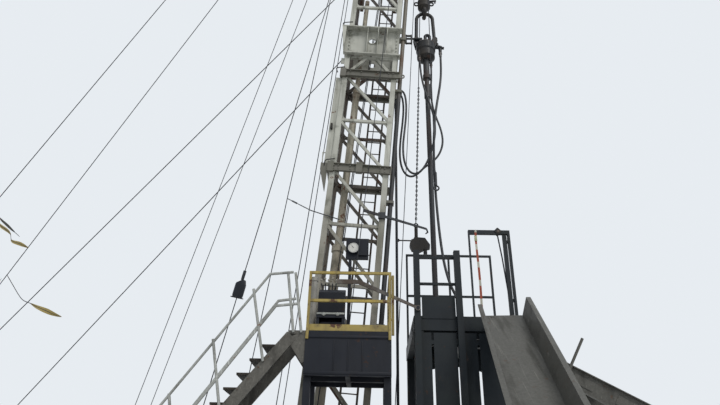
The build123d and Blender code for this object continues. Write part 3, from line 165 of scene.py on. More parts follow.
class Finish(Tree):
    """A material with its own nodes."""

    def __init__(self, name):
        self.name = name
        self.material = bpy.data.materials.new(name)
        super().__init__(self.material)
        self.surface = self.nodes["Principled BSDF"]
        self.place = self.node("TexCoord", {}, "Object")

    def noise(self, scale, detail=4.0, stretch=(1.0, 1.0, 1.0), roughness=0.55, turn=(0.0, 0.0, 0.0)):
        """Cloudy noise; a small stretch value draws it out along that axis of the turned pattern."""
        turned = self.node("Mapping", {"Vector": self.place, "Rotation": turn})
        spot = self.node("Mapping", {"Vector": turned, "Scale": stretch})
        return self.node("TexNoise", {"Vector": spot, "Scale": scale, "Detail": detail,
                                      "Roughness": roughness})

    def axis(self, vector, name="Z"):
        """One coordinate of a vector."""
        return self.node("SeparateXYZ", {0: vector}, name)

    def tops(self):
        """One on faces that look up, nought on walls."""
        return self.edge(self.axis(self.node("TexCoord", {}, "Normal")), 0.35, 0.9)

    def edge(self, value, low, high):
        """Nought below low and one above high, soft between."""
        return self.node("MapRange", {"Value": value, "From Min": low, "From Max": high},
                         interpolation_type="SMOOTHSTEP")

    def patches(self, low, high, scale, detail, **more):
        """Noise cut into patches: nought below low and one above high."""
        return self.edge(self.noise(scale, detail, **more), low, high)

    def blend(self, factor, first, second):
        """A mix of two colours."""
        return self.node("Mix", {0: factor, 6: first, 7: second}, 2, data_type="RGBA")

    def coat(self, colour, roughness, relief=None, depth=0.003, strength=0.5, metallic=0.0, shine=0.5):
        """Feeds the surface shader and puts the material on the list of finishes."""
        self.surface.inputs["Specular IOR Level"].default_value = shine
        self.feed(self.surface.inputs["Base Color"], colour)
        self.feed(self.surface.inputs["Roughness"], roughness)
        self.feed(self.surface.inputs["Metallic"], metallic)
        if relief is not None:
            bump = self.node("Bump", {"Strength": strength, "Distance": depth, "Height": relief})
            self.feed(self.surface.inputs["Normal"], bump)
        finishes[self.name] = self.material


def scaled(colour, share):
    """A colour made darker or brighter."""
    return tuple(share * part for part in colour)


def old_paint(name, paint, faded, grime, rust, rust_share=0.5, grime_share=0.5, painted_low_shade=None):
    """Old paint: faded patches, grime in long runs, rust that lifts its edge and, where asked, painted shade
    that darkens it towards the bottom.
    """
    f = Finish(name)
    colour = f.blend(f.patches(0.35, 0.7, scale=0.8, detail=3.0), paint, faded)
    # Painted shade: the paint turns darker and browner towards the bottom, where the mast stands in the
    # shade under the platform.
    if painted_low_shade:
        depth = f.axis(f.place) * -1.0 + f.noise(0.9, 5.0) * 3.0
        shade_top = -7.6
        shade_full = -3.4
        colour = f.blend(f.edge(depth, shade_top, shade_full) * 0.7, colour, painted_low_shade)
    more_grime = 0.2 * grime_share
    more_rust = 0.2 * rust_share
    more_specks = 0.14 * rust_share
    runs = f.patches(0.62 - more_grime, 0.9 - more_grime, scale=1.0, detail=6.0, stretch=(7.0, 7.0, 0.7))
    moss = f.patches(0.66 - more_grime, 0.86 - more_grime, scale=2.6, detail=8.0)
    dirt = runs.largest(moss)
    colour = f.blend(dirt * 0.75, colour, grime)
    sheets = f.patches(0.74 - more_rust, 0.78 - more_rust, scale=3.4, detail=9.0, roughness=0.68)
    specks = f.patches(0.74 - more_specks, 0.8 - more_specks, scale=24.0, detail=5.0, roughness=0.7)
    worn = sheets.largest(specks)
    shade = f.blend(f.noise(30.0, 4.0), rust, scaled(rust, 0.45))
    colour = f.blend(worn, colour, shade)
    relief = f.noise(60.0, 3.0) * 0.3 + worn * -0.7
    f.coat(colour, worn * 0.3 + dirt * 0.1 + 0.52, relief, strength=0.6)


def aged_pipe(name, low, high, rust, start, end):
    """A long pipe: greasy and dark below the start level, paler and rusty above the end level."""
    f = Finish(name)
    shift = 0.8
    upper = f.edge(f.axis(f.place) + f.noise(0.9, 4.0) * (2 * shift), start + shift, end + shift)
    colour = f.blend(upper, low, high)
    brown = f.patches(0.5, 0.62, scale=2.6, detail=9.0, stretch=(1.0, 1.0, 0.35), roughness=0.66)
    colour = f.blend(brown * (upper * 0.55 + 0.25), colour, rust)
    streaks = f.patches(0.5, 0.75, scale=2.0, detail=5.0, stretch=(9.0, 9.0, 0.5))
    colour = f.blend(streaks * 0.5, colour, scaled(low, 0.4))
    f.coat(colour, brown * 0.2 + 0.5, f.noise(55.0, 3.0), depth=0.002, strength=0.45, shine=0.35)


def rusty_steel(name, steel, rust, share=0.6, metallic=0.5):
    """Bare steel under brown rust, with darker pits."""
    f = Finish(name)
    more_rust = 0.45 * share
    brown = f.patches(0.7 - more_rust, 0.9 - more_rust, scale=2.2, detail=9.0, roughness=0.65)
    shade = f.blend(f.noise(18.0, 6.0), rust, scaled(rust, 0.35))
    colour = f.blend(brown, steel, shade)
    pits = f.patches(0.4, 0.7, scale=70.0, detail=2.0)
    colour = f.blend(pits * 0.35, colour, scaled(steel, 0.3))
    f.coat(colour, brown * 0.35 + 0.42, pits, depth=0.002, metallic=(1.0 - brown) * metallic)


def greasy_steel(name, dark, dusty, gloss=0.42, rust=(0.045, 0.024, 0.015), pattern=None, tips=None):
    """Dark paint and metal under grease, dusty on top, with rust in spots; a pattern stands proud of it.

    Above the level of the tips it is bare and pale.
    """
    f = Finish(name)
    dust = f.patches(0.42, 0.72, scale=1.7, detail=8.0)
    smears = f.patches(0.4, 0.7, scale=5.0, detail=4.0, stretch=(1.0, 1.0, 0.25))
    settled = f.tops() * f.patches(0.3, 0.68, scale=3.1, detail=7.0)
    spots = f.patches(0.6, 0.66, scale=5.5, detail=9.0, roughness=0.72)
    colour = f.blend(dust * 0.7, dark, dusty)
    colour = f.blend(smears * 0.4, colour, scaled(dark, 0.35))
    colour = f.blend(settled * 0.6, colour, scaled(dusty, 2.2))
    colour = f.blend(spots * 0.7, colour, rust)
    if tips:
        level, pale = tips
        colour = f.blend(f.edge(f.axis(f.place), level, level + 0.02), colour, pale)
    rough = dust * 0.3 + settled * 0.2 + spots * 0.15 + gloss - smears * 0.12
    relief = f.noise(45.0, 3.0) * 0.5 + spots * 0.4
    if pattern:
        relief = relief * 0.4 + pattern(f) * f.tops() * 1.5
    f.coat(colour, rough, relief, shine=0.22)


def chequer(f):
    """Raised bars that cross on a tread plate."""
    rows = []
    for turn in (45, -45):
        spot = f.node("Mapping", {"Vector": f.place, "Rotation": (0, 0, radians(turn))})
        along_bar = f.math("SINE", f.axis(spot, "X") * 60.0)
        across_bar = f.math("SINE", f.axis(spot, "Y") * 120.0)
        rows.append(f.edge(along_bar, 0.0, 0.5) * f.edge(across_bar, 0.55, 0.85))
    return rows[0].largest(rows[1])


def zinc(name, bright, dull, rust, slope=0.0):
    """Galvanised sheet: small spangles, long stains along its slope, scrapes and a little rust."""
    f = Finish(name)
    lie = (-slope, 0.0, 0.0)
    cells = f.node("TexVoronoi", {"Vector": f.place, "Scale": 38.0}, "Color")
    tone = f.node("SeparateColor", {0: cells})
    colour = f.blend(tone * 0.5 + 0.2, bright, dull)
    stains = f.patches(0.46, 0.74, scale=1.3, detail=7.0, stretch=(4.0, 0.7, 1.2), turn=lie)
    colour = f.blend(stains * 0.7, colour, scaled(dull, 0.5))
    scrapes = f.patches(0.62, 0.7, scale=3.0, detail=4.0, stretch=(16.0, 0.35, 3.0), turn=lie)
    colour = f.blend(scrapes * 0.55, colour, scaled(bright, 1.9))
    spots = f.patches(0.6, 0.67, scale=7.0, detail=9.0, roughness=0.7)
    colour = f.blend(spots * 0.8, colour, rust)
    relief = f.noise(9.0, 5.0) + scrapes * -0.2
    f.coat(colour, stains * 0.25 + 0.5, relief, strength=0.35, metallic=0.1, shine=0.35)


def wave(f, direction, scale, distortion=0.0):
    """Bands that run across a direction."""
    return f.node("TexWave", {"Vector": f.place, "Scale": scale, "Distortion": distortion},
                  bands_direction=direction)


def rubber(name, black, dust):
    """Hose rubber with dried mud on it."""
    f = Finish(name)
    mud = f.patches(0.5, 0.74, scale=6.0, detail=7.0)
    colour = f.blend(mud * 0.6, black, dust)
    f.coat(colour, mud * 0.3 + 0.5, wave(f, "Z", 30.0, 0.6), depth=0.0012, strength=0.35)


def wire_rope(name, wire, grease):
    """Greased wire rope, the strands as fine slanting bands."""
    f = Finish(name)
    dirt = f.patches(0.35, 0.65, scale=3.0, detail=5.0)
    strands = wave(f, "DIAGONAL", 26.0, 0.3)
    f.coat(f.blend(dirt, wire, grease), dirt * 0.25 + 0.45, strands, metallic=0.4)


def webbing(name, first, second, length):
    """Woven strap in two colours that take turns along it."""
    f = Finish(name)
    turn = f.math("FRACT", f.axis(f.place) * (1.0 / length))
    colour = f.blend(f.edge(turn, 0.66, 0.7), first, second)
    dirt = f.patches(0.5, 0.75, scale=9.0, detail=5.0)
    colour = f.blend(dirt * 0.5, colour, (0.06, 0.05, 0.04))
    f.coat(colour, 0.85, wave(f, "Z", 120.0), depth=0.001)


def enamel(name, colour, stain, rough=0.35):
    """A dial face or a tape: smooth, a little stained."""
    f = Finish(name)
    tint = f.blend(f.patches(0.5, 0.78, scale=14.0, detail=6.0) * 0.4, colour, stain)
    f.coat(tint, rough, f.noise(80.0, 2.0), depth=0.0005, strength=0.2)


NODE_FINISHES = {
    "mast_cream": ["mast_lower_near_side", "mast_upper_near_side", "mast_girder", "crown_frame"],
    # Collars, pedestal, hose bracket and clamps: the mast paint darkened to about a third as painted shade,
    # with real grime and rust on it.
    "mast_paint_shade": ["mast_collar_lower", "mast_collar_upper", "mast_pedestal", "hose_bracket",
                     "standpipe_clamps"],
    # The far side, back and ladder of the mast: the cream paint darkened to a brown as painted shade; its
    # rust and grime are real.
    "mast_paint_far_shade": ["mast_lower_far_side", "mast_upper_far_side", "mast_lower_back", "mast_upper_back",
                   "mast_ladder"],
    "cylinder_paint": ["scoping_cylinder"],
    "pipe_rust": ["drill_pipe", "swivel_stem", "hook_arm"],
    "standpipe_rust": ["standpipe"],
    "riser_black": ["hydraulic_risers"],
    "rope": ["fast_lines", "guy_lines"],
    "block_grease": ["travelling_block", "hook_body", "swivel_bail", "power_swivel", "crown_sheaves",
                     "line_drum", "drum_cheeks", "power_tong"],
    "platform_dark": ["platform_box", "platform_legs", "gauge_panel", "tool_bench", "lever_pin"],
    "console_dark": ["control_console"],
    "tread_wood": ["left_stair_treads"],
    "skid_dark": ["skid_runners", "skid_beams", "guy_anchors"],
    "tread_plate": ["skid_deck", "floor_plate"],
    "floor_green": ["floor_frame", "floor_columns", "floor_rails", "front_posts", "toe_panel",
                    "door_frame", "floor_screens"],
    "rail_yellow": ["platform_rails"],
    "slide_zinc": ["pipe_slide", "right_stair"],
    "stair_zinc": ["left_stair_rails"],
    "pipe_worn": ["air_pipe"],
    "stringer_zinc": ["left_stair_stringers"],
    "lever_steel": ["brake_lever"],
}
# Dark paint of the driller's place, clean and under dust, and its gloss.
DRILLER_DARK = ((0.009, 0.011, 0.017), (0.022, 0.024, 0.03), 0.5)
# Level and colour of the console's bare lever tips.
CONSOLE_TIPS = (5.41, (0.26, 0.245, 0.21))
SLIDE_SLOPE = radians(38)
STRAP_BAND = 0.36


def make_finishes(tones):
    """Every finish, from the colours in the panel."""
    grime = tones.grime
    rust = tones.rust
    # The mast paint, with painted shade that darkens it towards the bottom.
    old_paint("mast_cream", tones.cream, tones.cream_faded, grime, rust, grime_share=0.75,
              painted_low_shade=(0.15, 0.13, 0.1))
    # The mast paint darkened to about a third as painted shade, for the collars and the pedestal; its grime
    # and rust are real.
    old_paint("mast_paint_shade", (0.12, 0.115, 0.096), (0.075, 0.071, 0.058), grime, rust, grime_share=0.9)
    # The mast paint darkened to a brown as painted shade, for the far side, back and ladder; the rust and
    # grime on it are real.
    old_paint("mast_paint_far_shade", (0.085, 0.075, 0.06), (0.06, 0.045, 0.036), (0.03, 0.028, 0.025),
              (0.085, 0.042, 0.026), rust_share=0.95, grime_share=0.8)
    old_paint("cylinder_paint", (0.34, 0.31, 0.245), (0.23, 0.195, 0.145), grime,
              (0.15, 0.075, 0.045), rust_share=0.85, grime_share=0.8)
    old_paint("pipe_worn", (0.31, 0.31, 0.29), (0.2, 0.185, 0.16), (0.085, 0.075, 0.06),
              (0.12, 0.08, 0.06), rust_share=0.9, grime_share=1.1)
    old_paint("rail_yellow", tones.yellow, (0.26, 0.2, 0.06), (0.07, 0.055, 0.03),
              (0.1, 0.045, 0.025), rust_share=0.8, grime_share=0.75)
    aged_pipe("pipe_rust", (0.022, 0.025, 0.03), (0.035, 0.037, 0.04), tones.pipe, start=7.0, end=12.0)
    aged_pipe("standpipe_rust", (0.024, 0.026, 0.03), (0.125, 0.11, 0.088), (0.105, 0.062, 0.04),
              start=9.9, end=10.7)
    greasy_steel("riser_black", (0.013, 0.016, 0.022), (0.035, 0.036, 0.038))
    greasy_steel("block_grease", tones.grease, (0.055, 0.046, 0.036))
    greasy_steel("platform_dark", *DRILLER_DARK)
    greasy_steel("console_dark", *DRILLER_DARK, tips=CONSOLE_TIPS)
    greasy_steel("tread_wood", (0.022, 0.019, 0.016), (0.06, 0.05, 0.038), gloss=0.65)
    greasy_steel("skid_dark", (0.018, 0.02, 0.024), (0.06, 0.052, 0.042), gloss=0.6)
    greasy_steel("tread_plate", (0.016, 0.019, 0.022), (0.05, 0.046, 0.04), gloss=0.55, pattern=chequer)
    greasy_steel("floor_green", tones.floor, (0.026, 0.031, 0.031), gloss=0.5)
    zinc("slide_zinc", (0.1, 0.098, 0.088), (0.056, 0.055, 0.048), (0.075, 0.045, 0.03), SLIDE_SLOPE)
    zinc("stair_zinc", (0.35, 0.36, 0.345), (0.2, 0.205, 0.19), rust)
    zinc("stringer_zinc", (0.11, 0.105, 0.092), (0.055, 0.052, 0.045), (0.06, 0.04, 0.028))
    rusty_steel("lever_steel", (0.15, 0.14, 0.13), (0.09, 0.065, 0.05))
    rusty_steel("fitting_steel", (0.1, 0.1, 0.1), rust, share=0.5, metallic=0.6)
    rusty_steel("chain_steel", (0.045, 0.045, 0.048), (0.06, 0.035, 0.025), share=0.5, metallic=0.4)
    rusty_steel("bolt_steel", (0.11, 0.1, 0.09), rust, share=0.7, metallic=0.4)
    rusty_steel("alloy_trim", (0.3, 0.31, 0.29), (0.14, 0.12, 0.09), share=0.3, metallic=0.3)
    wire_rope("rope", (0.024, 0.027, 0.032), (0.01, 0.011, 0.014))
    rubber("hose_rubber", (0.009, 0.011, 0.015), (0.032, 0.032, 0.034))
    webbing("strap_red", (0.26, 0.055, 0.028), (0.38, 0.37, 0.31), STRAP_BAND)
    enamel("dial_white", (0.55, 0.55, 0.52), (0.25, 0.23, 0.19))
    enamel("dial_black", (0.01, 0.01, 0.012), (0.05, 0.05, 0.05))
    enamel("strap_buckle", (0.3, 0.31, 0.18), (0.1, 0.09, 0.05), rough=0.5)
    enamel("tape_yellow", (0.25, 0.19, 0.055), (0.05, 0.055, 0.025), rough=0.6)
    enamel("tape_dark", (0.035, 0.037, 0.025), (0.015, 0.015, 0.017), rough=0.6)
    enamel("tape_string", (0.03, 0.03, 0.035), (0.05, 0.045, 0.04), rough=0.8)


# Modelling helpers

def deselect():
    """Nothing selected, no edit mode."""
    if bpy.context.object and bpy.context.object.mode != "OBJECT":
        bpy.ops.object.mode_set(mode="OBJECT")
    bpy.ops.object.select_all(action="DESELECT")


def select_only(piece):
    """One piece selected and active."""
    deselect()
    piece.select_set(True)
    bpy.context.view_layer.objects.active = piece


def primitive(kind, **settings):
    """Adds one of Blender's primitives and gives it back."""
    deselect()
    getattr(bpy.ops.mesh, f"primitive_{kind}_add")(**settings)
    return bpy.context.object


@contextmanager
def faces(piece, wanted=lambda normal: True):
    """Edit mode with the faces selected for which wanted(normal) holds."""
    select_only(piece)
    bpy.ops.object.mode_set(mode="EDIT")
    bpy.ops.mesh.select_mode(type="FACE")
    bpy.ops.mesh.select_all(action="DESELECT")
    shape = bmesh.from_edit_mesh(piece.data)
    for face in shape.faces:
        face.select_set(wanted(face.normal))
    bmesh.update_edit_mesh(piece.data)
    yield
    bpy.ops.object.mode_set(mode="OBJECT")


def looks_up(normal):
    """Whether a face looks straight up."""
    return normal.z > 0.9


def apply_place(piece):
    """Puts a piece's place into its mesh."""
    select_only(piece)
    bpy.ops.object.transform_apply(location=True, rotation=True, scale=True)


def joined(pieces, name):
    """Several pieces as one."""
    deselect()
    for piece in pieces:
        piece.select_set(True)
    bpy.context.view_layer.objects.active = pieces[0]
    if len(pieces) > 1:
        bpy.ops.object.join()
    pieces[0].name = name
    return pieces[0]


def copies(pattern, places, name):
    """One piece made of copies of a pattern, each at a place (matrix)."""
    made = []
    for number, place in enumerate(places):
        twin = bpy.data.objects.new(f"{name}_{number}", pattern.data.copy())
        bpy.context.scene.collection.objects.link(twin)
        twin.data.transform(place)
        made.append(twin)
    bpy.data.objects.remove(pattern)
    return joined(made, name)


def paint(piece, finish):
    """Gives a piece one finish all over."""
    piece.data.materials.clear()
    piece.data.materials.append(finishes[finish])


def dress(piece, finish, slot="dark_steel", body="root"):
    """Gives a piece its finish and, if it doesn't bend, the body that it rides on; the slot is not used."""
    paint(piece, finish)
    if body:
        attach(piece, body)


def bolt(radius, height):
    """A hexagon bolt head on its washer, upright on the ground plane."""
    head = primitive("cylinder", vertices=6, radius=radius, depth=height, location=(0, 0, height * 0.65))
    with faces(head, looks_up):
        bpy.ops.mesh.inset(thickness=radius * 0.14)
        bpy.ops.transform.translate(value=(0, 0, height * 0.12))
    with faces(head, lambda normal: normal.z < -0.9):
        bpy.ops.mesh.extrude_region_move(TRANSFORM_OT_translate={"value": (0, 0, -height * 0.15)})
        bpy.ops.transform.resize(value=(1.35, 1.35, 1.0))
    apply_place(head)
    return head


def bolts(name, places, radius, height, *looks):
    """Bolts at places, as one piece."""
    dress(copies(bolt(radius, height), places, name), *looks)


def add_modifier(piece, kind, **settings):
    """Adds a modifier with its settings and applies it."""
    bpy.ops.object.modifier_add(type=kind)
    made = piece.modifiers[-1]
    for key, value in settings.items():
        setattr(made, key, value)
    bpy.ops.object.modifier_apply(modifier=made.name)


def strand_rope(radius, length, lay, name):
    """A six-strand rope standing on the ground plane, twisted once every lay."""
    strands = 6
    valley = 0.8
    rope = primitive("circle", vertices=2 * strands, radius=radius, fill_type="NOTHING")
    rope.name = name
    for number, vertex in enumerate(rope.data.vertices):
        if number % 2:
            vertex.co *= valley
    select_only(rope)
    steps = round(length / lay * strands)
    add_modifier(rope, "SCREW", axis="Z", angle=tau * length / lay, screw_offset=length, steps=steps,
                 render_steps=steps, use_smooth_shade=True)
    with faces(rope):
        bpy.ops.mesh.normals_make_consistent(inside=False)
    return rope


def hose_curve(route, name, width):
    """A smooth curve through a hose's route, as wide as the hose."""
    data = bpy.data.curves.new(name, "CURVE")
    data.dimensions = "3D"
    spline = data.splines.new("NURBS")
    spline.points.add(len(route) - 1)
    for point, place in zip(spline.points, route):
        point.co = (*place, 1.0)
    spline.order_u = 3
    spline.use_endpoint_u = True
    spline.resolution_u = 8
    data.bevel_depth = width / 2
    data.bevel_resolution = 4
    data.use_fill_caps = True
    curve = bpy.data.objects.new(name, data)
    bpy.context.scene.collection.objects.link(curve)
    return curve


def line_points(curve):
    """The points that a curve's own line runs through."""
    width = curve.data.bevel_depth
    curve.data.bevel_depth = 0.0
    bpy.context.view_layer.update()
    mesh = bpy.data.meshes.new_from_object(curve.evaluated_get(bpy.context.evaluated_depsgraph_get()))
    points = [vertex.co.copy() for vertex in mesh.vertices]
    curve.data.bevel_depth = width
    bpy.context.view_layer.update()
    return points


def solid_curve(curve):
    """A curve turned into a mesh with smooth sides."""
    select_only(curve)
    bpy.ops.object.convert(target="MESH")
    bpy.ops.object.shade_smooth_by_angle(angle=SMOOTH_ANGLE)
    return bpy.context.object


def bent_rod(name, route, width, finish):
    """A round rod bent along a route."""
    rod = solid_curve(hose_curve(route, name, width))
    dress(rod, finish)
    return rod


def ribbon(name, points, width, side, thickness):
    """A flat band along points; width and side are worked out from the share of the way along."""
    steps = len(points) - 1
    band = primitive("grid", x_subdivisions=1, y_subdivisions=steps, size=1.0)
    for vertex in band.data.vertices:
        row = round((vertex.co.y + 0.5) * steps)
        share = row / steps
        hand = 1 if vertex.co.x > 0 else -1
        vertex.co = Vector(points[row]) + side(share).normalized() * (hand * width(share) / 2)
    select_only(band)
    add_modifier(band, "SUBSURF", levels=2, render_levels=2)
    add_modifier(band, "SOLIDIFY", thickness=thickness, offset=0.0)
    bpy.ops.object.shade_smooth_by_angle(angle=SMOOTH_ANGLE)
    band.name = name
    return band


def block(size, place, name, finish, bevel=0.003, slot="dark_steel"):
    """A small block with rounded edges."""
    piece = primitive("cube", size=1.0, location=place)
    piece.scale = size
    apply_place(piece)
    with faces(piece):
        bpy.ops.mesh.bevel(offset=bevel, offset_type="OFFSET", segments=2, affect="EDGES")
    bpy.ops.object.shade_smooth_by_angle(angle=SMOOTH_ANGLE)
    piece.name = name
    dress(piece, finish, slot)
    return piece


# Settings

def colour_setting(label, description, default):
    """A colour in the panel."""
    return bpy.props.FloatVectorProperty(name=label, description=description, subtype="COLOR",
                                         default=default, min=0.0, max=1.0)


def number_setting(label, description, default, low=0.0, unit="LENGTH"):
    """A length or another number in the panel."""
    return bpy.props.FloatProperty(name=label, description=description, default=default, min=low, unit=unit)


class RigTones(bpy.types.PropertyGroup):
    """Colours of the rig."""

    cream: colour_setting("Mast paint", "Cream paint on the mast", (0.4, 0.405, 0.36))
    cream_faded: colour_setting("Faded paint", "Where the mast paint has gone grey", (0.27, 0.27, 0.235))
    grime: colour_setting("Grime", "Moss and mud in the runs", (0.075, 0.078, 0.055))
    rust: colour_setting("Rust", "Rust through the paint", (0.13, 0.055, 0.028))
    pipe: colour_setting("Pipe", "Rust on the pipe string", (0.06, 0.04, 0.033))
    grease: colour_setting("Grease", "Dark grease on the block and swivel", (0.014, 0.016, 0.02))
    floor: colour_setting("Work floor", "Dark green paint of the work floor", (0.009, 0.013, 0.017))
    yellow: colour_setting("Guard rail", "Yellow paint of the guard rails", (0.36, 0.26, 0.045))


class RigSizes(bpy.types.PropertyGroup):
    """Sizes of the pieces that this file adds."""

    rope_radius: number_setting("Fall radius", "Radius of the drilling falls", 0.0115, 0.005)
    rope_lay: number_setting("Fall lay", "Length of one twist of the falls", 0.24, 0.1)
    service_hose: number_setting("Service hose", "Outside width of the service hoses", 0.048, 0.02)
    rotary_hose: number_setting("Rotary hose", "Outside width of the rotary hose", 0.056, 0.02)
    bolt_radius: number_setting("Bolt", "Radius of the structural bolt heads", 0.017, 0.005)
    link_width: number_setting("Chain link", "Half width of a chain link", 0.026, 0.01)


class StageLight(bpy.types.PropertyGroup):
    """Light and background."""

    sky: number_setting("Sky", "Strength of the even light", 0.72, unit="NONE")
    sun: number_setting("Key light", "Strength of the soft key light", 1.7, unit="NONE")
    backdrop: colour_setting("Backdrop", "Colour behind the rig", (0.8, 0.84, 0.88))


# Pieces

class RIG_OT_finishes(bpy.types.Operator):
    """Make the finishes and give each carried-over piece its own"""

    bl_idname = "rig.finishes"
    bl_label = "Finishes"

    def execute(self, context):
        make_finishes(context.scene.rig_tones)
        for finish, names in NODE_FINISHES.items():
            for name in names:
                paint(nodes[name], finish)
        return {"FINISHED"}


# The routes of the hoses, as the CAD has them, from the fixed end to the moving end.
LEFT_HOSE = [
    (1.325, 0.06, 10.5603), (1.325, 0.06, 10.66), (1.4, 0.056, 10.79), (1.53, 0.048, 10.75),
    (1.584, 0.04, 10.44), (1.572, 0.028, 9.98), (1.524, 0.005, 9.52), (1.476, -0.025, 9.06),
    (1.5, -0.06, 8.62), (1.625, -0.09, 8.33), (1.81, -0.11, 8.29), (1.99, -0.124, 8.52),
    (2.136, -0.132, 8.92), (2.232, -0.138, 9.35), (2.23, -0.14, 9.8), (2.135, -0.142, 10.22),
    (2.02, -0.142, 10.65), (1.95, -0.134, 11.08), (1.93, -0.12, 11.48), (1.93, -0.12, 11.6797),
]
RIGHT_HOSE = [
    (1.325, 0.15, 10.5603), (1.325, 0.15, 10.65), (1.392, 0.149, 10.76), (1.49, 0.147, 10.69),
    (1.524, 0.142, 10.33), (1.49, 0.136, 9.85), (1.43, 0.13, 9.34), (1.408, 0.122, 8.87),
    (1.468, 0.116, 8.52), (1.61, 0.112, 8.34), (1.79, 0.112, 8.39), (1.96, 0.116, 8.6),
    (2.15, 0.122, 8.74), (2.335, 0.126, 8.96), (2.44, 0.126, 9.29), (2.41, 0.126, 9.66),
    (2.3, 0.128, 10.03), (2.215, 0.136, 10.43), (2.2, 0.142, 10.87), (2.235, 0.12, 11.32),
    (2.235, 0.12, 11.6797),
]
ROTARY_HOSE = [
    (2.5, -0.41, 4.88), (2.5, -0.41, 5.26), (2.37, -0.346, 5.56), (2.264, -0.296, 6.05),
    (2.206, -0.276, 6.7), (2.172, -0.268, 7.35), (2.154, -0.262, 8.0), (2.154, -0.256, 8.65),
    (2.182, -0.246, 9.29), (2.24, -0.218, 9.87), (2.322, -0.156, 10.37), (2.404, -0.08, 10.82),
    (2.454, -0.024, 11.24), (2.47, 0.0, 11.64), (2.47, 0.0, 11.9497),
]


def sleeve(sides, radius, height, steps, swell):
    """An upright sleeve on the ground plane, its two ends stepped in and drawn out."""
    piece = primitive("cylinder", vertices=sides, radius=radius, depth=height, location=(0, 0, height / 2))
    with faces(piece, lambda normal: abs(normal.z) > 0.9):
        for step in steps:
            bpy.ops.mesh.inset(thickness=step)
        bpy.ops.transform.resize(value=(1, 1, swell))
    return piece


def hose_end(place, direction, width, name):
    """A crimped ferrule and a hexagon nut at a hose's end; direction runs out of the hose's end."""
    ferrule = sleeve(24, width * 0.62, width * 1.9, (width * 0.07, width * 0.045), 1.06)
    nut = sleeve(6, width * 0.82, width * 0.7, (width * 0.08,), 1.15)
    end = joined([ferrule, nut], name)
    apply_place(end)
    end.data.transform(standing(place, -Vector(direction)))
    dress(end, "fitting_steel", body=None)
    return end


class RIG_OT_hoses(bpy.types.Operator):
    """Add the three hoses with their end fittings"""

    bl_idname = "rig.hoses"
    bl_label = "Hoses"

    def execute(self, context):
        sizes = context.scene.rig_sizes
        for route, name, width, start, end in (
            (LEFT_HOSE, "hose_left", sizes.service_hose, (1.6, 0, 0), (1.9, 0, 0)),
            (RIGHT_HOSE, "hose_right", sizes.service_hose, (1.56, 0, 0), (2.15, 0, 0)),
            (ROTARY_HOSE, "rotary_hose", sizes.rotary_hose, (0, 0, 5.0), (0, 0, 11.6)),
        ):
            curve = hose_curve(route, name + "_rubber", width)
            points = line_points(curve)
            hose = solid_curve(curve)
            dress(hose, "hose_rubber", "black_hose", None)
            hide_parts(name)
            fixed = hose_end(points[0], (0, 0, -1), width, name + "_fixed_end")
            moving = hose_end(points[-1], (0, 0, 1), width, name + "_moving_end")
            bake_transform(hose)
            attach(fixed, "root")
            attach(moving, "block")
        return {"FINISHED"}


# The falls: how many run down each side of the block, their pitch, half the distance between their feet at
# the block, and the width over them at the crown.
FALLS_A_SIDE = 4
FALL_PITCH = 0.06
HALF_FEET = 0.2313
CROWN_WIDTH = 0.6592


class RIG_OT_falls(bpy.types.Operator):
    """Replace the drilling falls by twisted ropes"""

    bl_idname = "rig.falls"
    bl_label = "Falls"

    def execute(self, context):
        sizes = context.scene.rig_sizes
        low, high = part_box("drilling_falls")
        rope = strand_rope(sizes.rope_radius, high[2] - low[2], sizes.rope_lay, "fall_rope")
        places = []
        half_heads = (CROWN_WIDTH - 2 * sizes.rope_radius) / 2
        for side in (-1, 1):
            for count in range(FALLS_A_SIDE):
                y = (count - (FALLS_A_SIDE - 1) / 2) * FALL_PITCH
                foot = Vector((WELL_X + side * HALF_FEET, y, low[2]))
                head = Vector(((low[0] + high[0]) / 2 + side * half_heads, y, high[2]))
                places.append(standing(foot, head - foot))
        falls = copies(rope, places, "falls")
        dress(falls, "rope", "wire_rope", None)
        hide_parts("drilling_falls")
        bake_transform(falls)
        return {"FINISHED"}


# Bolts on the mast, in its own width and height.
BOLT_LINE = -1.2
GIRDER_BOLTS = [(x, 10.345 + 0.11 * step) for x in (-0.585, 0.585) for step in range(7)]
COLLAR_LEVELS = (("mast_collar_lower", 7.02), ("mast_collar_upper", 9.68))
COLLAR_BOLTS = [(x, rise) for x in (-0.56, -0.46, -0.2, 0.2, 0.46, 0.56) for rise in (-0.045, 0.045)]
SWIVEL_FLANGE = 12.2
SWIVEL_BOLTS = 14
TREADS = 20


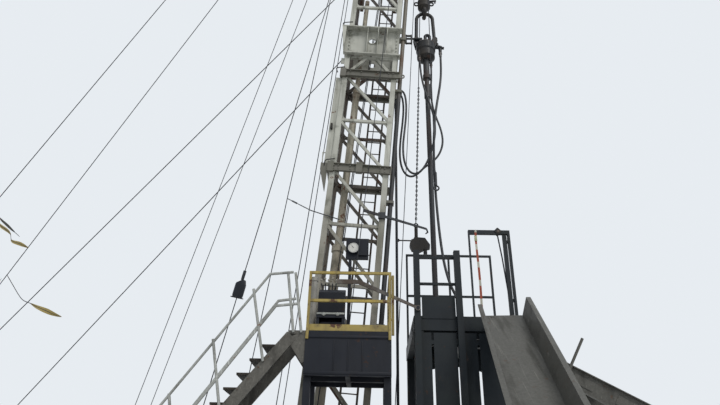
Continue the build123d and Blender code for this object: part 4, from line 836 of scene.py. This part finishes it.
class RIG_OT_bolts(bpy.types.Operator):
    """Add the bolts of the girder, collars, swivel and left stair"""

    bl_idname = "rig.bolts"
    bl_label = "Bolts"

    def execute(self, context):
        radius = context.scene.rig_sizes.bolt_radius
        girder = [seated("mast_girder", mast_point(x, BOLT_LINE, level), INWARD)
                  for x, level in GIRDER_BOLTS]
        bolts("girder_bolts", girder, radius, radius * 1.3, "mast_cream", "mast_paint")
        collars = [seated(name, mast_point(x, BOLT_LINE, level + rise), INWARD)
                   for name, level in COLLAR_LEVELS for x, rise in COLLAR_BOLTS]
        # The collar bolts take the collars' paint, with its painted shade.
        bolts("collar_bolts", collars, radius, radius * 1.3, "mast_paint_shade", "mast_paint")
        ring = []
        for count in range(SWIVEL_BOLTS):
            angle = tau * count / SWIVEL_BOLTS
            out = Vector((cos(angle), sin(angle), 0))
            ring.append(seated("power_swivel", Vector((WELL_X, 0, SWIVEL_FLANGE)) + out * 0.6, -out))
        bolts("swivel_bolts", ring, radius * 0.9, radius * 1.2, "bolt_steel", "dark_steel", "block")
        bolts("stair_bolts", self.stair(), radius * 0.6, radius * 0.8, "bolt_steel", "galvanised")
        return {"FINISHED"}

    def stair(self):
        """Two places at each tread's end, on the near stringer's outer face."""
        low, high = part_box("left_stair_treads")
        near_side = low[1] + 0.02
        below_tread = 0.03
        stringers = nodes["left_stair_stringers"]
        places = []
        for count in range(1, TREADS):
            share = count / TREADS
            for shift in (-0.05, 0.05):
                x = low[0] + (high[0] - low[0]) * share + shift
                z = low[2] + (high[2] - low[2]) * share - below_tread
                hit, place, normal, _ = stringers.ray_cast(Vector((x, -3.0, z)), Vector(INWARD))
                if hit and place.y < near_side:
                    places.append(standing(place, normal))
        return places


# The gauge: a point on its dial's line, the dial's size, its ticks and pointer, and the angles in degrees.
DIAL_LINE = (0.43, -1.5, 6.215)
DIAL_RADIUS = 0.1075
DIAL_RIM = 0.006
DIAL_RING = 0.03
TICK_RADIUS = 0.086
TICK_SIZE = (0.011, 0.0025, 0.001)
TICKS = 25
FIRST_TICK = -225
TICK_SWEEP = 270
POINTER_LENGTH = 0.082
POINTER_TURN = 38


class RIG_OT_gauge(bpy.types.Operator):
    """Add the gauge's face, its tick marks and its pointer"""

    bl_idname = "rig.gauge"
    bl_label = "Gauge face"

    def execute(self, context):
        place, _ = seat("gauge_panel", DIAL_LINE, INWARD)
        front = Vector((0, -0.003, 0))
        self.turn = Matrix.Translation(place + front) @ turn_by(90, "X")
        self.face()
        self.marks()
        self.pointer()
        return {"FINISHED"}

    def face(self):
        """The dial with its rim and its ring."""
        face = primitive("circle", vertices=48, radius=DIAL_RADIUS, fill_type="NGON")
        with faces(face):
            bpy.ops.mesh.inset(thickness=DIAL_RIM)
            bpy.ops.transform.translate(value=(0, 0, -0.0015))
            bpy.ops.mesh.inset(thickness=DIAL_RING)
        face.data.transform(self.turn)
        face.name = "gauge_face"
        dress(face, "dial_white")

    def marks(self):
        """The ticks round the dial, each fourth one longer."""
        places = []
        for count in range(TICKS):
            angle = FIRST_TICK + TICK_SWEEP * count / (TICKS - 1)
            spot = turn_by(angle) @ Matrix.Translation((TICK_RADIUS, 0, 0.0006))
            longer = 1.6 if count % 4 == 0 else 1.0
            places.append(self.turn @ spot @ Matrix.Diagonal((longer, 1, 1, 1)))
        mark = primitive("cube", size=1.0)
        mark.scale = TICK_SIZE
        apply_place(mark)
        with faces(mark, looks_up):
            bpy.ops.mesh.inset(thickness=0.0005)
        dress(copies(mark, places, "gauge_marks"), "dial_black")

    def pointer(self):
        """The flat pointer."""
        pointer = primitive("cone", vertices=4, radius1=0.008, radius2=0.001, depth=POINTER_LENGTH,
                            location=(0, 0.035, 0.003), rotation=(radians(-90), 0, 0))
        with faces(pointer, lambda normal: normal.y < -0.8):
            bpy.ops.mesh.inset(thickness=0.001)
        apply_place(pointer)
        flat = Matrix.Diagonal((1, 1, 0.3, 1))
        pointer.data.transform(self.turn @ turn_by(POINTER_TURN) @ flat)
        pointer.name = "gauge_pointer"
        dress(pointer, "dial_black")


# The tong line's course, and how far up it the chain reaches.
TONG_LINE_FOOT = Vector((1.774, 0.4, 7.335))
TONG_LINE_TOP = Vector((1.905, 0.388, 10.61))
CHAIN_LENGTH = 3.8
CHAIN_START = 0.02


class RIG_OT_chain(bpy.types.Operator):
    """Add the chain over the lower end of the tong line"""

    bl_idname = "rig.chain"
    bl_label = "Tong chain"

    def execute(self, context):
        half = context.scene.rig_sizes.link_width
        course = (TONG_LINE_TOP - TONG_LINE_FOOT).normalized()
        pitch = half * 2.3
        places = []
        for number in range(round(CHAIN_LENGTH / pitch)):
            spot = TONG_LINE_FOOT + course * (CHAIN_START + pitch * number)
            places.append(standing(spot, course) @ turn_by(90 * (number % 2)) @ turn_by(-90, "Y"))
        dress(copies(self.link(half), places, "tong_chain"), "chain_steel")
        return {"FINISHED"}

    def link(self, half):
        """One long link, lying on the ground plane."""
        link = primitive("torus", major_segments=16, minor_segments=6, major_radius=half * 0.72,
                         minor_radius=half * 0.28)
        for vertex in link.data.vertices:
            if vertex.co.x > 0.0001:
                vertex.co.x += half * 1.1
        bpy.ops.object.shade_smooth()
        return link


# The strap hangs in one plane: its course below the header, its width, how far its sides twist, its ring.
STRAP_Y = -1.186
STRAP_COURSE = [(2.778, 6.36), (2.772, 6.22), (2.774, 6.08), (2.779, 5.92), (2.785, 5.72), (2.79, 5.5),
                (2.792, 5.28), (2.788, 5.05), (2.785, 4.86), (2.785, 4.7)]
STRAP_WIDTH = 0.042
STRAP_TWIST = 0.22
RING_COURSE = [(2.76, 6.29), (2.758, 6.345), (2.772, 6.365), (2.786, 6.345), (2.786, 6.29)]


class RIG_OT_strap(bpy.types.Operator):
    """Add the webbing strap that hangs in the doorway, with its buckle and ring"""

    bl_idname = "rig.strap"
    bl_label = "Door strap"

    def execute(self, context):
        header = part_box("door_frame")[1][2]
        route = [(2.782, STRAP_Y, header + 0.004)] + [(x, STRAP_Y, z) for x, z in STRAP_COURSE]
        strap = ribbon("door_strap", route, lambda share: STRAP_WIDTH,
                       lambda share: Vector((1, STRAP_TWIST * sin(6 * share), 0)), 0.003)
        dress(strap, "strap_red", "yellow_paint")
        block((0.05, 0.022, 0.11), (2.773, STRAP_Y - 0.002, 6.235), "strap_buckle", "strap_buckle",
              slot="yellow_paint")
        bent_rod("strap_ring", [(x, STRAP_Y + 0.004, z) for x, z in RING_COURSE], 0.008, "fitting_steel")
        return {"FINISHED"}


# Each tape's depth, which is that of its guy rope, and its course.
TAPES = {
    "upper": (2.36, [(-9.308, 8.403), (-9.16, 8.3), (-9.02, 8.18), (-8.85, 8.06), (-8.7, 7.94),
                     (-8.55, 7.83), (-8.396, 7.714)]),
    "lower": (2.36, [(-9.308, 8.396), (-9.2, 8.2), (-9.05, 8.05), (-8.9, 7.96), (-8.74, 7.87), (-8.65, 7.77),
                     (-8.62, 7.64), (-8.55, 7.575), (-8.4, 7.545), (-8.26, 7.49), (-8.07, 7.407)]),
    "far": (4.23, [(-9.698, 7.383), (-9.53, 7.19), (-9.361, 6.996), (-9.19, 6.8), (-9.017, 6.618),
                   (-8.88, 6.565), (-8.765, 6.535), (-8.598, 6.451), (-8.47, 6.4), (-8.345, 6.355),
                   (-8.22, 6.31), (-8.093, 6.259), (-7.937, 6.205), (-7.755, 6.151)]),
    "short": (4.23, [(-9.8, 7.26), (-9.84, 7.16), (-9.86, 7.06), (-9.8, 6.98), (-9.74, 6.93)]),
}
# Each leaf's name, its tape, the first and last point that it spans, its breadth and its finish.
LEAVES = (("upper_leaf", "upper", 1, 5, 0.055, "tape_dark"),
          ("lower_leaf", "lower", 1, 5, 0.075, "tape_yellow"),
          ("end_leaf", "lower", 6, 10, 0.095, "tape_yellow"),
          ("far_leaf", "far", 6, 13, 0.125, "tape_yellow"),
          ("short_leaf", "short", 0, 3, 0.07, "tape_dark"))


class RIG_OT_tapes(bpy.types.Operator):
    """Add the flag tapes that are tied to two of the guy ropes"""

    bl_idname = "rig.tapes"
    bl_label = "Guy tapes"

    def execute(self, context):
        routes = {name: [(x, y, z) for x, z in course] for name, (y, course) in TAPES.items()}
        for name, route in routes.items():
            string = ribbon(f"tape_{name}", route, lambda share: 0.024 - 0.01 * share,
                            lambda share: Vector((0.28, 0.2, 1)), 0.006)
            dress(string, "tape_string", "yellow_paint")
        for name, tape, first, last, breadth, finish in LEAVES:
            leaf = ribbon(name, routes[tape][first:last + 1],
                          lambda share: 0.02 + breadth * max(0.0, sin(pi * share)) ** 0.8,
                          lambda share: Vector((0.28, 0.5 * sin(5 * share), 1)), 0.003)
            dress(leaf, finish, "yellow_paint")
        return {"FINISHED"}


# The line keepers: rods across the near leg's front that turn down at its edge, in width and level. The
# lowest one stands on the collar.
LEG_FACE = -0.435
COLLAR_FACE = -0.462
KEEPERS = (
    (LEG_FACE, [(0.235, 12.585), (0.1, 12.57), (-0.012, 12.557), (-0.005, 12.47), (0.006, 12.39)]),
    (LEG_FACE, [(0.08, 11.105), (-0.03, 11.085), (-0.129, 11.07), (-0.11, 11.0), (-0.088, 10.93)]),
    (COLLAR_FACE, [(-0.05, 8.455), (-0.16, 8.44), (-0.26, 8.424), (-0.272, 8.35), (-0.278, 8.282)]),
)
EDGE_BRACKET = (-0.166, -1.0, 9.345)
# The escape line's device: its middle on the line, the line's course there, its housing and its bar.
DEVICE_SPOT = (-2.238, 1.361, 6.034)
DEVICE_COURSE = (0.0423, -0.0225, 0.2033)
DEVICE_SIZE = (0.25, 0.13, 0.36)
DEVICE_BAR = [(-0.15, 0, -0.196), (0, 0, -0.202), (0.15, 0, -0.196)]
# The header clamp's place.
CLAMP_X = 3.205


class RIG_OT_trim(bpy.types.Operator):
    """Add the small parts of the platform, bench, doorway, mast and escape line"""

    bl_idname = "rig.trim"
    bl_label = "Small parts"

    def execute(self, context):
        self.platform()
        self.bench()
        self.doorway()
        self.mast()
        self.escape_line()
        return {"FINISHED"}

    def platform(self):
        """The lip, the foot rail, the rail sockets and the ribs on the platform box's front."""
        low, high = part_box("platform_box")
        middle = (low[0] + high[0]) / 2
        width = high[0] - low[0]
        front = low[1]
        block((width - 0.06, 0.02, 0.045), (middle, front - 0.009, high[2] - 0.1), "platform_lip",
              "platform_dark", 0.008)
        block((width - 0.02, 0.014, 0.05), (middle, front - 0.006, low[2] + 0.05), "platform_foot",
              "platform_dark", 0.005)
        for number, x in enumerate((low[0] + 0.026, high[0] - 0.026)):
            block((0.05, 0.026, 0.15), (x, front - 0.012, high[2] - 0.07), f"rail_socket_{number}",
                  "rail_yellow", 0.006, "yellow_paint")
        for number, x in enumerate((middle - 0.24, middle, middle + 0.24)):
            block((0.018, 0.012, 0.5), (x, front - 0.005, (low[2] + high[2]) / 2 - 0.04),
                  f"platform_rib_{number}", "platform_dark")

    def bench(self):
        """The bench's bright edge and the two bosses on it."""
        low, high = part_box("tool_bench")
        block((high[0] - low[0] - 0.01, 0.016, 0.032),
              ((low[0] + high[0]) / 2, low[1] - 0.007, high[2] - 0.018), "bench_edge", "alloy_trim", 0.004)
        for number, x in enumerate((low[0] + 0.13, high[0] - 0.13)):
            place = (x, low[1] - 0.0145, high[2] - 0.03)
            self.screw(0.026, 0.016, place, f"bench_boss_{number}", "alloy_trim")

    def screw(self, radius, height, place, name, finish):
        """A hexagon head that looks out of the rig's front."""
        head = bolt(radius, height)
        head.data.transform(standing(place, OUTWARD))
        head.name = name
        dress(head, finish)

    def doorway(self):
        """The clamp on the door header, with its screw."""
        low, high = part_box("door_frame")
        jaw = block((0.115, high[1] - low[1] + 0.03, 0.115), (0, 0, 0), "header_clamp", "skid_dark", 0.014)
        spot = Matrix.Translation((CLAMP_X, (low[1] + high[1]) / 2, high[2] - 0.02))
        jaw.data.transform(spot @ turn_by(45, "Y"))
        self.screw(0.02, 0.02, (CLAMP_X, low[1] - 0.0145, high[2] - 0.035), "header_screw", "bolt_steel")

    def mast(self):
        """The bracket on the mast's left edge and the bent rods that keep the lines off it."""
        face, _ = seat("mast_lower_near_side", EDGE_BRACKET, INWARD)
        block((0.05, 0.07, 0.15), face - Vector((0, 0.03, 0)), "edge_bracket", "skid_dark", 0.008)
        for number, (y, course) in enumerate(KEEPERS):
            bent_rod(f"line_keeper_{number}", [(x, y, z) for x, z in course], 0.024, "skid_dark")

    def escape_line(self):
        """The brake housing that the escape line runs through, with a bar across its foot."""
        place = standing(DEVICE_SPOT, DEVICE_COURSE)
        case = block(DEVICE_SIZE, (0, 0, -0.02), "escape_device", "riser_black", 0.05)
        with faces(case, looks_up):
            bpy.ops.transform.resize(value=(0.5, 0.7, 1.0))
            bpy.ops.transform.translate(value=(0.035, 0, 0.07))
        for piece in (case, bent_rod("escape_bar", DEVICE_BAR, 0.026, "riser_black")):
            piece.data.transform(place)


FLOOR_SIZE = 1200.0
FLOOR_TONES = ((0.72, 0.72, 0.71), (0.66, 0.66, 0.65))
SKY_TINT = (0.9, 0.95, 1.0)
SUN_TURN = (radians(36), radians(26), 0)
SUN_TINT = (1.0, 0.97, 0.92)
SUN_WIDTH = radians(30)
# The camera's place, turns in degrees and lens.
EYE = (0.814, -11.3, 1.6)
PITCH = 28.0
YAW = -1.5
ROLL = 1.455
LENS = 29.0


class RIG_OT_stage(bpy.types.Operator):
    """Add the floor, the light, the backdrop colour and the camera"""

    bl_idname = "rig.stage"
    bl_label = "Stage"

    def execute(self, context):
        light = context.scene.rig_light
        floor = primitive("plane", size=FLOOR_SIZE, location=(0, 0, -0.002))
        floor.name = "stage_floor"
        f = Finish("stage_floor")
        f.coat(f.blend(f.noise(0.4, 3.0) * 0.2, *FLOOR_TONES), 0.9)
        floor.data.materials.append(f.material)
        self.sky(context.scene, light)
        deselect()
        bpy.ops.object.light_add(type="SUN", rotation=SUN_TURN)
        sun = bpy.context.object
        sun.name = "key_light"
        sun.data.energy = light.sun
        sun.data.angle = SUN_WIDTH
        sun.data.color = SUN_TINT
        self.camera(context)
        return {"FINISHED"}

    def sky(self, scene, light):
        """Even light from all round; the camera, mirrors and glass see the backdrop's colour instead."""
        scene.world = bpy.data.worlds.new("stage_sky")
        sky = Tree(scene.world)
        seen, mirrored, through = [sky.node("LightPath", {}, f"Is {kind} Ray")
                                   for kind in ("Camera", "Glossy", "Transmission")]
        even = sky.node("Background", {"Color": SKY_TINT, "Strength": light.sky})
        backdrop = sky.node("Background", {"Color": light.backdrop, "Strength": 1.0})
        clear = seen.largest(mirrored.largest(through))
        mix = sky.node("MixShader", {0: clear, 1: even, 2: backdrop})
        sky.feed(sky.nodes["World Output"].inputs["Surface"], mix)
        sky.nodes.remove(sky.nodes["Background"])

    def camera(self, context):
        """The photograph's viewpoint: low, tilted up, with a slight roll."""
        bpy.ops.object.camera_add()
        camera = bpy.context.object
        camera.name = "camera"
        upright = turn_by(-YAW) @ turn_by(90 + PITCH, "X")
        camera.matrix_world = Matrix.Translation(EYE) @ upright @ turn_by(ROLL)
        camera.data.sensor_width = 36.0
        camera.data.lens = LENS
        camera.data.clip_end = 2000.0
        context.scene.camera = camera
        context.scene.view_settings.view_transform = "Standard"


class RIG_PT_panel(bpy.types.Panel):
    """Settings and pieces of the rig"""

    bl_label = "Workover Rig"
    bl_idname = "RIG_PT_panel"
    bl_space_type = "VIEW_3D"
    bl_region_type = "UI"
    bl_category = "Rig"

    def draw(self, context):
        for group, kind in GROUPS.items():
            for name in kind.__annotations__:
                self.layout.prop(getattr(context.scene, group), name)
        for operator in OPERATORS:
            self.layout.operator(operator.bl_idname)


GROUPS = {"rig_tones": RigTones, "rig_sizes": RigSizes, "rig_light": StageLight}
OPERATORS = (RIG_OT_stage, RIG_OT_finishes, RIG_OT_hoses, RIG_OT_falls, RIG_OT_bolts, RIG_OT_gauge,
             RIG_OT_chain, RIG_OT_strap, RIG_OT_tapes, RIG_OT_trim)
CLASSES = (*GROUPS.values(), *OPERATORS, RIG_PT_panel)


def register():
    """Registers the settings, the operators and the panel."""
    for item in CLASSES:
        bpy.utils.register_class(item)
    for name, group in GROUPS.items():
        setattr(bpy.types.Scene, name, bpy.props.PointerProperty(type=group))


def unregister():
    """Takes them away again."""
    for name in GROUPS:
        delattr(bpy.types.Scene, name)
    for item in reversed(CLASSES):
        bpy.utils.unregister_class(item)


def main():
    """Dresses the rig."""
    register()
    for operator in OPERATORS:
        group, name = operator.bl_idname.split(".")
        getattr(getattr(bpy.ops, group), name)()


if __name__ == "__main__":
    main()
